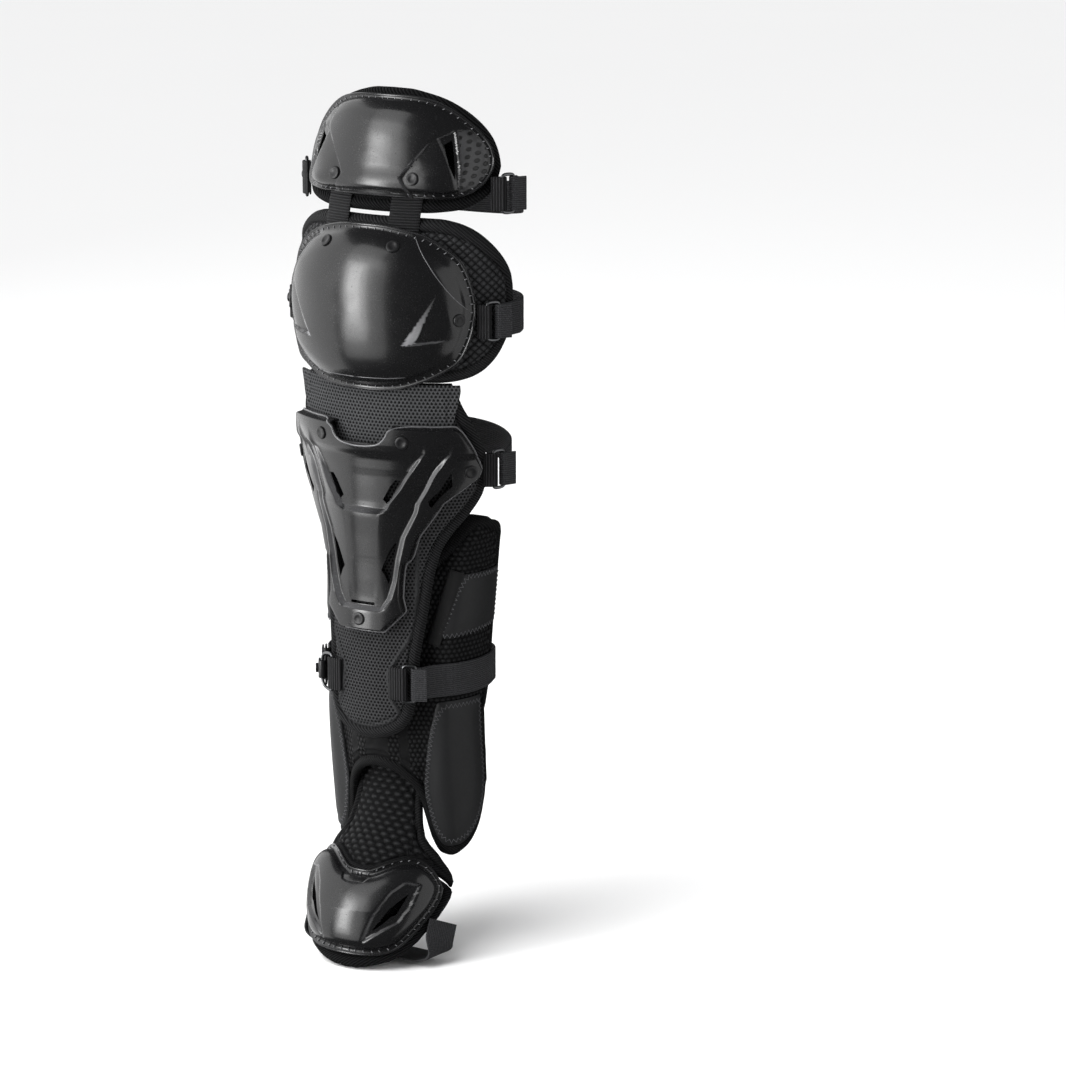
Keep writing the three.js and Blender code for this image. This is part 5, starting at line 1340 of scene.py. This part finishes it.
def flap_scales(a, b, edge):
    """Small raised scales, set like bricks."""
    row = np.floor(b / SCALE_TALL)
    aside = a / SCALE_WIDE + 0.5 * row
    aside = aside - np.floor(aside) - 0.5
    return 0.6 - ease(np.hypot(1.1 * aside, b / SCALE_TALL - row - 0.5), 0.1, 0.6)


bound_pad(
    "foot_flap_cover", on_foot, *flap_grid, FLAP_THICKNESS, flap_scales, finish=flap_mesh, slot="mesh_cloth",
    border=FLAP_BINDING,
)

# Toe pad
# The stiffer pad over the toes and the top of the foot, bound with twill.
TOE_PAD_THICKNESS = 10
toe_pad_rows = [
    (0, 0.998), (0.127, 0.995), (0.24, 0.985), (0.354, 0.969), (0.48, 0.945), (0.6, 0.903), (0.734, 0.834),
    (0.835, 0.757), (0.911, 0.686), (0.975, 0.609), (1, 0.563),
]
toe_across, toe_high = np.array(toe_pad_rows).T
toe_low = joint_at(toe_across * TOE_PAD_HALF) + 1
toe_grid = foot_grid(toe_across, toe_low, toe_high * FOOT_LENGTH, TOE_PAD_HALF, 150, 90)


def toe_quilting(a, b, edge):
    return 0.3 * diamonds(a, b, DIAMOND_TALL, DIAMOND_TALL)


bound_pad("toe_pad_cover", on_foot, *toe_grid, TOE_PAD_THICKNESS, toe_quilting)

# Toe shell
# A small domed plate on the toe pad, with a smiling lip at its top edge and a leaf-shaped vent on each side.
TOE_SHELL_HALF = 67
TOE_SHELL_LENGTH = 85
TOE_SHELL_LOW = FOOT_LENGTH - 11
TOE_DOME = 9
toe_rows = [
    (0, 0.765), (0.15, 0.78), (0.28, 0.85), (0.42, 0.935), (0.57, 0.995), (0.71, 1), (0.865, 0.945),
    (0.98, 0.83), (1, 0.72), (0.965, 0.58), (0.865, 0.39), (0.75, 0.23), (0.61, 0.1), (0.42, 0.03),
    (0.21, 0.005), (0, 0),
]
toe_outline = cap_outline(toe_rows, TOE_SHELL_HALF, TOE_SHELL_LOW, -TOE_SHELL_LENGTH, 320)
toe_middle = (0, TOE_SHELL_LOW - 0.42 * TOE_SHELL_LENGTH)
toe_cap = Cap(on_foot, toe_outline, toe_middle, TOE_DOME, seat=PIECE_SEAT, rings=44)


def toe_place(corners):
    return [(across * TOE_SHELL_HALF, TOE_SHELL_LOW - up * TOE_SHELL_LENGTH) for across, up in corners]


toe_vent = toe_place([(0.62, 0.64), (0.33, 0.24), (0.5, 0.4), (0.55, 0.43)])
leaf = toe_place([(0.7, 0.74), (0.66, 0.52), (0.58, 0.36), (0.25, 0.13), (0.32, 0.36), (0.44, 0.6), (0.56, 0.73)])
toe_side = through([0, 4.5, 7, 11, 20, 34], [0, 0.02, 0.4, 0.66, 0.86, 1])
toe_lip = [(-11, 0), (-9, 3.6), (-5, 5), (0, 5.4), (5, 5), (9, 3.6), (11, 0)]
TOE_LIP_LEVEL = TOE_SHELL_LOW - 0.68 * TOE_SHELL_LENGTH
toe_lip = [(across, TOE_LIP_LEVEL + down, 0.9) for across, down in toe_lip]
toe_cap.height = PIECE_SEAT + SHELL_WALL + TOE_DOME * toe_side(toe_cap.edge)
toe_relief = rim(toe_cap.edge) + crease(toe_cap.a, toe_cap.b, toe_lip, 7, side=-1)
toe_cap.shape(toe_relief + pocket(abs(toe_cap.a), toe_cap.b, leaf, 2.2, 1.4))
toe_shell = toe_cap.piece("toe_shell_skin", "toe_shell", gloss_shell)
for corners in (toe_vent, mirrored(toe_vent)):
    cut(toe_shell, on_foot, corners)
lacing("toe_lacing", toe_cap, lace_thread)

# Toe strap
# A flat elastic strap sewn to the sides of the toe pad, which passes under the sole of the shoe.
STRAP_WIDTH = 25.4
TOE_STRAP_THICKNESS = 2
SOLE_DROP = 17
elastic = Finish("elastic", (0.05, 0.051, 0.055), 0.78, shine=0.15)
strap_along, strap_across, _ = elastic.place()
strap_yarn = strap_along.wave(1.1) * 0.6 + strap_across.wave(1.6)
strap_fuzz = elastic.noise(1100)
# Random fluff tone, with the yarn's ribs painted a little lighter: painted light.
strap_shade = strap_yarn * 0.25 + strap_fuzz
elastic.feed("Base Color", elastic.blend(strap_shade, (0.008, 0.008, 0.0088), (0.042, 0.0425, 0.045)))
elastic.bump(strap_yarn + strap_fuzz * 0.6, 0.22)
strap_face = np.array([(-0.5, 0.25), (-0.48, 0.46), (-0.45, 0.5), (-0.25, 0.5), (0, 0.5)])
strap_face = np.concatenate([strap_face, strap_face[-2::-1] * (-1, 1)])
strap_profile = np.roll(np.concatenate([strap_face, -strap_face]), 1, axis=0)


def strap_piece(name, line, across, width, thickness, finish):
    """A flat strap along a line, its width along a direction at each point."""
    run = np.gradient(line, axis=0)
    across = np.broadcast_to(across, line.shape)
    out = np.cross(run, across)
    out /= np.linalg.norm(out, axis=1)[:, None]
    v, w = strap_profile.T
    offsets = v[:, None] * width * across[:, None] + w[:, None] * thickness * out[:, None]
    points = line[:, None] + offsets / 1000
    length = np.concatenate([[0], np.cumsum(np.linalg.norm(np.diff(line, axis=0), axis=1))]) * 1000
    grid = np.broadcast_to(length[:, None], points.shape[:2])
    marks = np.stack([grid, grid * 0 + v * width, grid * 0 + (0.5 - abs(v)) * width], -1)
    indices = np.arange(grid.size).reshape(grid.shape)
    faces = grid_faces(indices, wrap=True) + [indices[0][::-1].tolist(), indices[-1].tolist()]
    return add_piece(name, points, faces, marks.reshape(-1, 3), finish)


side_s = 0.94 * TOE_PAD_HALF
side_t = mix(0.7, 0.8, np.array([0, 0.33, 0.66, 1])) * FOOT_LENGTH
side_line = on_foot(side_s, side_t, PIECE_SEAT + TOE_STRAP_THICKNESS / 2)
leave = side_line[-1] * 1000
sole_shares = [(0.98, 0.62), (0.82, 0.96), (0.4, 1), (0, 1)]
sole_line = [(x * leave[0], leave[1] + 2 * down, leave[2] - SOLE_DROP * down) for x, down in sole_shares]
right_line = np.concatenate([side_line, np.array(sole_line) / 1000])
toe_line = smooth_line(np.concatenate([right_line, right_line[-2::-1] * (-1, 1, 1)]), 160)
side_across = on_foot(side_s + 1, 0.7 * FOOT_LENGTH, 0) - on_foot(side_s - 1, 0.7 * FOOT_LENGTH, 0)
side_across /= np.linalg.norm(side_across)
risen = ease(toe_line[:, 2:] * 1000, leave[2] - SOLE_DROP, leave[2] + 2)
toe_turn = mix(np.array([0, 1, 0]), side_across, risen)
toe_turn[:, 0] *= np.sign(toe_line[:, 0])
toe_turn /= np.linalg.norm(toe_turn, axis=1)[:, None]
toe_strap = strap_piece(
    "toe_strap_band", toe_line, toe_turn, STRAP_WIDTH, TOE_STRAP_THICKNESS, elastic.material
)
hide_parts("toe_strap")

# Leg straps
# Four elastic straps. On the inner side each is looped through a slide that a webbing tab holds; on the
# outer side its moulded hook is caught on a bright wire ring, held by another tab.
STRAP_THICKNESS = 1.6
TAB_THICKNESS = 1.4
WIRE_RADIUS = 1.3
RING_BOW = 13
SLIDE_FRAME = 2.4
SLIDE_REACH = 9.6
SLOT_HALF = STRAP_WIDTH / 2 + 0.3
HOOK_WALL = 1.6
HOOK_LENGTH = 19
HOOK_BAR = HOOK_LENGTH - SLIDE_FRAME / 2
BAR_GAP = 2
CORNER = 2.2
TAIL_LENGTH = 9
bare_wire = Finish("bare_wire", (0.13, 0.132, 0.136), 0.3, metallic=1.0)
bare_wire.feed("Roughness", 0.22 + bare_wire.noise(250, 4) * 0.2)
hook_plastic = Finish("hook_plastic", (0.006, 0.006, 0.0065), 0.36, shine=0.4)
hook_plastic.bump(hook_plastic.noise(300), 0.08)
upward = np.array([0.0, 0.0, 1.0])


class Seat:
    """A place on the leg that a fitting is built from: along the strap, up, and out from the leg."""

    def __init__(self, origin, toward, sign):
        self.origin = origin
        self.along = (toward - origin) / np.linalg.norm(toward - origin)
        out = np.cross(self.along, upward * sign)
        self.out = out / np.linalg.norm(out)
        self.across = np.cross(self.out, self.along)

    def spot(self, u, v, w):
        u, v, w = np.broadcast_arrays(np.asarray(u, float), v, w)
        axes = u[..., None] * self.along + v[..., None] * self.across + w[..., None] * self.out
        return self.origin + axes / 1000


def strap_ground(s, z):
    """What a strap lies on: the pads, and below the calf the liner's wings."""
    edge = shin_pad_edge(z)
    return mix(0, liner_face(s, z), ease(abs(s), edge + 1, edge + 22) * (1 if z < 307 else 0))


half_turn = np.linspace(0, np.pi, 9)


def tab(name, seat, length):
    """A webbing tab, folded round the bar of a fitting and sewn down."""
    r = BAR_GAP + TAB_THICKNESS / 2
    turned = [(r * np.sin(angle), -r * np.cos(angle)) for angle in half_turn]
    low = TAB_THICKNESS + 0.3 - r
    spots = np.array([(-length, -r), (-0.4 * length, -r), *turned, (-0.45 * length, 0.55 * r), (-length, low)])
    line = smooth_line(seat.spot(spots[:, 0], 0, spots[:, 1]), 70)
    strip = strap_piece(f"{name}_webbing", line, upward, STRAP_WIDTH, TAB_THICKNESS, webbing.material)
    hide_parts(name)


def wire_loop(name, seat, spots):
    line = smooth_line(seat.spot(spots[:, 0], spots[:, 1], 0), 96, closed=True)
    loop = line_piece(f"{name}_wire", [line], WIRE_RADIUS, bare_wire.material, closed=True)
    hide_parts(name)


def hook(name, seat):
    """A moulded hook: its nose curls over the ring, its end is slotted for the strap."""
    near = WIRE_RADIUS + 0.3
    far = near + HOOK_WALL
    bend = np.linspace(0.5, 1.5, 17) * np.pi
    outer = [(8, far), *[(far * np.cos(angle), far * np.sin(angle)) for angle in bend], (8, -far)]
    inner = [(8, -near), *[(near * np.cos(angle), near * np.sin(angle)) for angle in bend[::-1]], (8, near)]
    curl = np.array(outer + inner)
    half = SLOT_HALF + SLIDE_FRAME
    plate = [(6, 5 - half), (9, -half), (HOOK_LENGTH, -half), (HOOK_LENGTH, half), (9, half), (6, half - 5)]
    slot_end = HOOK_LENGTH - SLIDE_FRAME
    slot = [(10, -SLOT_HALF), (slot_end, -SLOT_HALF), (slot_end, SLOT_HALF), (10, SLOT_HALF)]
    turns = np.linspace(0, 2 * np.pi, 28, endpoint=False)
    nose = prism(lambda u, w, v: seat.spot(u, v, w), curl, -7, 7)
    body = prism(seat.spot, plate, -far, -near)
    stud = prism(seat.spot, [(4 + 3.7 * np.cos(turn), 3.7 * np.sin(turn)) for turn in turns], far - 0.5, far + 2.2)
    for part, mesh in (("nose", nose), ("plate", body), ("stud", stud)):
        piece = put(f"{name}_{part}", mesh)
        mesh.materials.append(hook_plastic.material)
        if part == "plate":
            cut(piece, seat.spot, slot, -far - 2, far)
        bevel = piece.modifiers.new("edge", "BEVEL")
        bevel.width = 0.0004
        bevel.segments = 3
        bevel.limit_method = "ANGLE"
        settle(piece)
        piece.data.shade_smooth()
        piece.data.set_sharp_from_angle(angle=math.radians(50))
        fasten(piece)
    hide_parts(name)


def strap_end(seat, bar, low):
    """Where a strap turns round a bar, with its tail doubled back."""
    r = BAR_GAP + STRAP_THICKNESS / 2
    turned = [(bar - r * np.sin(angle), low + r * np.cos(angle)) for angle in half_turn]
    spots = np.array([(bar + TAIL_LENGTH, low + r), (bar + TAIL_LENGTH / 2, low + r), *turned, (bar + 4, low - r)])
    return seat.spot(spots[:, 0], 0, spots[:, 1])


def leg_strap(name, level, rise, root, tab_length, back, last):
    """One strap and its fittings: its level and its rise behind the leg, where its tabs start, and how far
    back it goes."""
    bar_height = 0.9 + TAB_THICKNESS / 2 + BAR_GAP + TAB_THICKNESS / 2
    lift = 3 * PIECE_SEAT + STRAP_THICKNESS / 2
    bar_at = root + tab_length

    def spot(s, n):
        return on_leg(s, level, strap_ground(s, level) + n)

    slide_seat = Seat(spot(bar_at, bar_height), spot(bar_at + SLIDE_REACH, bar_height + 1), 1)
    inner_tab = Seat(spot(root, bar_height), spot(bar_at, bar_height), 1)
    inner_tab.origin = slide_seat.origin
    tab(f"{name}_slide_tab", inner_tab, tab_length)
    half = SLOT_HALF + SLIDE_FRAME / 2
    near = [(0, 0), (0, half - CORNER), (0.3 * CORNER, half - 0.3 * CORNER), (CORNER, half)]
    upper = [*near, *[(SLIDE_REACH - u, v) for u, v in near[::-1]]]
    wire_loop(f"{name}_slide", slide_seat, np.array([*upper, *[(u, -v) for u, v in upper[-2:0:-1]]]))

    ring_seat = Seat(spot(-bar_at, bar_height), spot(-bar_at - RING_BOW, bar_height + 3), -1)
    outer_tab = Seat(spot(-root, bar_height), spot(-bar_at, bar_height), -1)
    outer_tab.origin = ring_seat.origin
    tab(f"{name}_ring_tab", outer_tab, tab_length)
    bow = [(0, 0.55), (0, 0.93), (0.1, 1), (0.55, 0.98), (0.87, 0.84), (1, 0.58), (1, 0.2)]
    ring = np.array([*bow, *[(u, -v) for u, v in bow[::-1]]]) * (RING_BOW, SLOT_HALF + WIRE_RADIUS)
    wire_loop(f"{name}_ring", ring_seat, ring)

    hook_at = bar_at + RING_BOW + HOOK_BAR
    hook_drop = WIRE_RADIUS + 0.3 + HOOK_WALL / 2
    hook_height = lift + BAR_GAP + STRAP_THICKNESS / 2 + hook_drop
    hook_seat = Seat(ring_seat.spot(RING_BOW, 0, 0), spot(-hook_at, hook_height), -1)
    hook(f"{name}_hook", hook_seat)

    inner_run = [spot(s, lift) for s in np.arange(bar_at + SLIDE_REACH + 10, last, 12)] + [spot(last, lift)]
    outer_run = [spot(-s, lift) for s in np.arange(hook_at + 10, last, 12)]
    turn = inner_run[-1] * 1000
    far_back = into_frame((0, back, level + rise)) * 1000
    behind = [(0.93, 0.3), (0.78, 0.6), (0.48, 0.88), (0, 1)]
    behind = [(x * turn[0], mix(turn[1], far_back[1], share), turn[2] + rise * share) for x, share in behind]
    behind = np.array(behind + [(-x, y, z) for x, y, z in behind[-2::-1]]) / 1000
    hook_end = strap_end(hook_seat, HOOK_BAR, -hook_drop)
    ends = [strap_end(slide_seat, SLIDE_REACH, 0), inner_run, behind]
    if outer_run:
        ends.append(outer_run[::-1])
    line = smooth_line(np.concatenate([*ends, hook_end[::-1]]), 460)
    strap = strap_piece(f"{name}_strap_band", line, upward, STRAP_WIDTH, STRAP_THICKNESS, elastic.material)
    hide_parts(f"{name}_strap")


thigh_level = THIGH_PAD_LOW + 0.16 * THIGH_PAD_HEIGHT
knee_level = KNEE_PAD_LOW + 0.385 * KNEE_PAD_HEIGHT
calf_level = SHIN_PAD_LOW + 0.757 * SHIN_PAD_HEIGHT
ankle_level = SHIN_PAD_LOW + 0.17 * SHIN_PAD_HEIGHT
leg_strap("thigh", thigh_level, -16, THIGH_SHELL_HALF + 4, 8, 78, 112)
leg_strap("knee", knee_level, 0, KNEE_SHELL_HALF + 1, 7, 66, 128)
leg_strap("calf", calf_level, 9, SHIN_SHELL_HALF + 1, 8, 68, 113)
leg_strap("ankle", ankle_level, -2, 0.21 * SHIN_PAD_HALF, 11, 64, 128)

# Floor, light and camera
# A pale seamless floor, broad soft lights that the shells mirror, and a long lens aimed at the shin from
# a little above.
FLOOR_GAP = 0.0005
FLOOR_HALF = 12
paper = Finish("studio_paper", (0.9, 0.9, 0.9), 0.9)
paper.feed("Roughness", 0.85 + paper.noise(3) * 0.1)
floor_mesh = bpy.data.meshes.new("studio_floor")
floor_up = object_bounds()[0][2] - FLOOR_GAP
floor_signs = [(-1, -1), (1, -1), (1, 1), (-1, 1)]
floor_mesh.from_pydata([(x * FLOOR_HALF, y * FLOOR_HALF, floor_up) for x, y in floor_signs], [], [[0, 1, 2, 3]])
floor_mesh.materials.append(paper.material)
floor = put("studio_floor", floor_mesh)
floor.visible_glossy = False

world = bpy.data.worlds.new("studio")
world.use_nodes = True
world.node_tree.nodes["Background"].inputs["Color"].default_value = (0.93, 0.94, 0.96, 1)
world.node_tree.nodes["Background"].inputs["Strength"].default_value = 0.12
bpy.context.scene.world = world
bpy.context.scene.view_settings.view_transform = "Standard"


GUARD_MIDDLE = -0.19


def softbox(name, azimuth, elevation, distance, width, height, watts):
    """A rectangular light that faces the guard; angles in degrees, sizes in metres."""
    light = bpy.data.lights.new(name, "AREA")
    light.shape = "RECTANGLE"
    light.size = width
    light.size_y = height
    light.energy = watts
    box = put(name, light)
    turn = math.radians(azimuth)
    lift = math.radians(elevation)
    level = distance * math.cos(lift)
    box.location = (level * math.sin(turn), -level * math.cos(turn), distance * math.sin(lift) + GUARD_MIDDLE)
    box.rotation_euler = (math.pi / 2 - lift, 0, turn)


softbox("key_core", -30, 8, 2.2, 0.4, 1.2, 15)
softbox("key_middle", -29, 6, 2.3, 0.8, 1.7, 23)
softbox("key_rim", -23, 4, 2.4, 1.65, 2.6, 26)
softbox("key_top", -25, 38, 2.2, 1.1, 1.2, 10)
softbox("left_wall", -84, 4, 2.2, 3.4, 4.4, 82)
softbox("right_wall", 95, 4, 2.0, 2.2, 3.4, 25)
sun = bpy.data.lights.new("wash", "SUN")
sun.energy = 3.3
sun.angle = math.radians(50)
wash = put("wash", sun)
wash.rotation_euler = (math.radians(24), math.radians(-12), 0)
wash.visible_glossy = False

CAMERA_AZIMUTH = math.radians(32)
CAMERA_RISE = math.radians(13)
CAMERA_DISTANCE = 3.0
PHOTO_PIXELS = 1066
MILLIMETRES_A_PIXEL = 0.7727
AXIS_PIXEL = 405
AIM_UP = 323.5
right = np.array([math.cos(CAMERA_AZIMUTH), math.sin(CAMERA_AZIMUTH), 0])
back = np.array(
    [
        math.sin(CAMERA_AZIMUTH) * math.cos(CAMERA_RISE),
        -math.cos(CAMERA_AZIMUTH) * math.cos(CAMERA_RISE),
        math.sin(CAMERA_RISE),
    ]
)
aim = into_frame((0, 0, AIM_UP)) + (PHOTO_PIXELS / 2 - AXIS_PIXEL) * MILLIMETRES_A_PIXEL / 1000 * right
lens = bpy.data.cameras.new("camera")
lens.lens = lens.sensor_width * CAMERA_DISTANCE / (PHOTO_PIXELS * MILLIMETRES_A_PIXEL / 1000)
camera = put("camera", lens)
camera.location = (aim + CAMERA_DISTANCE * back).tolist()
camera.rotation_euler = (math.pi / 2 - CAMERA_RISE, 0, CAMERA_AZIMUTH)
bpy.context.scene.camera = camera
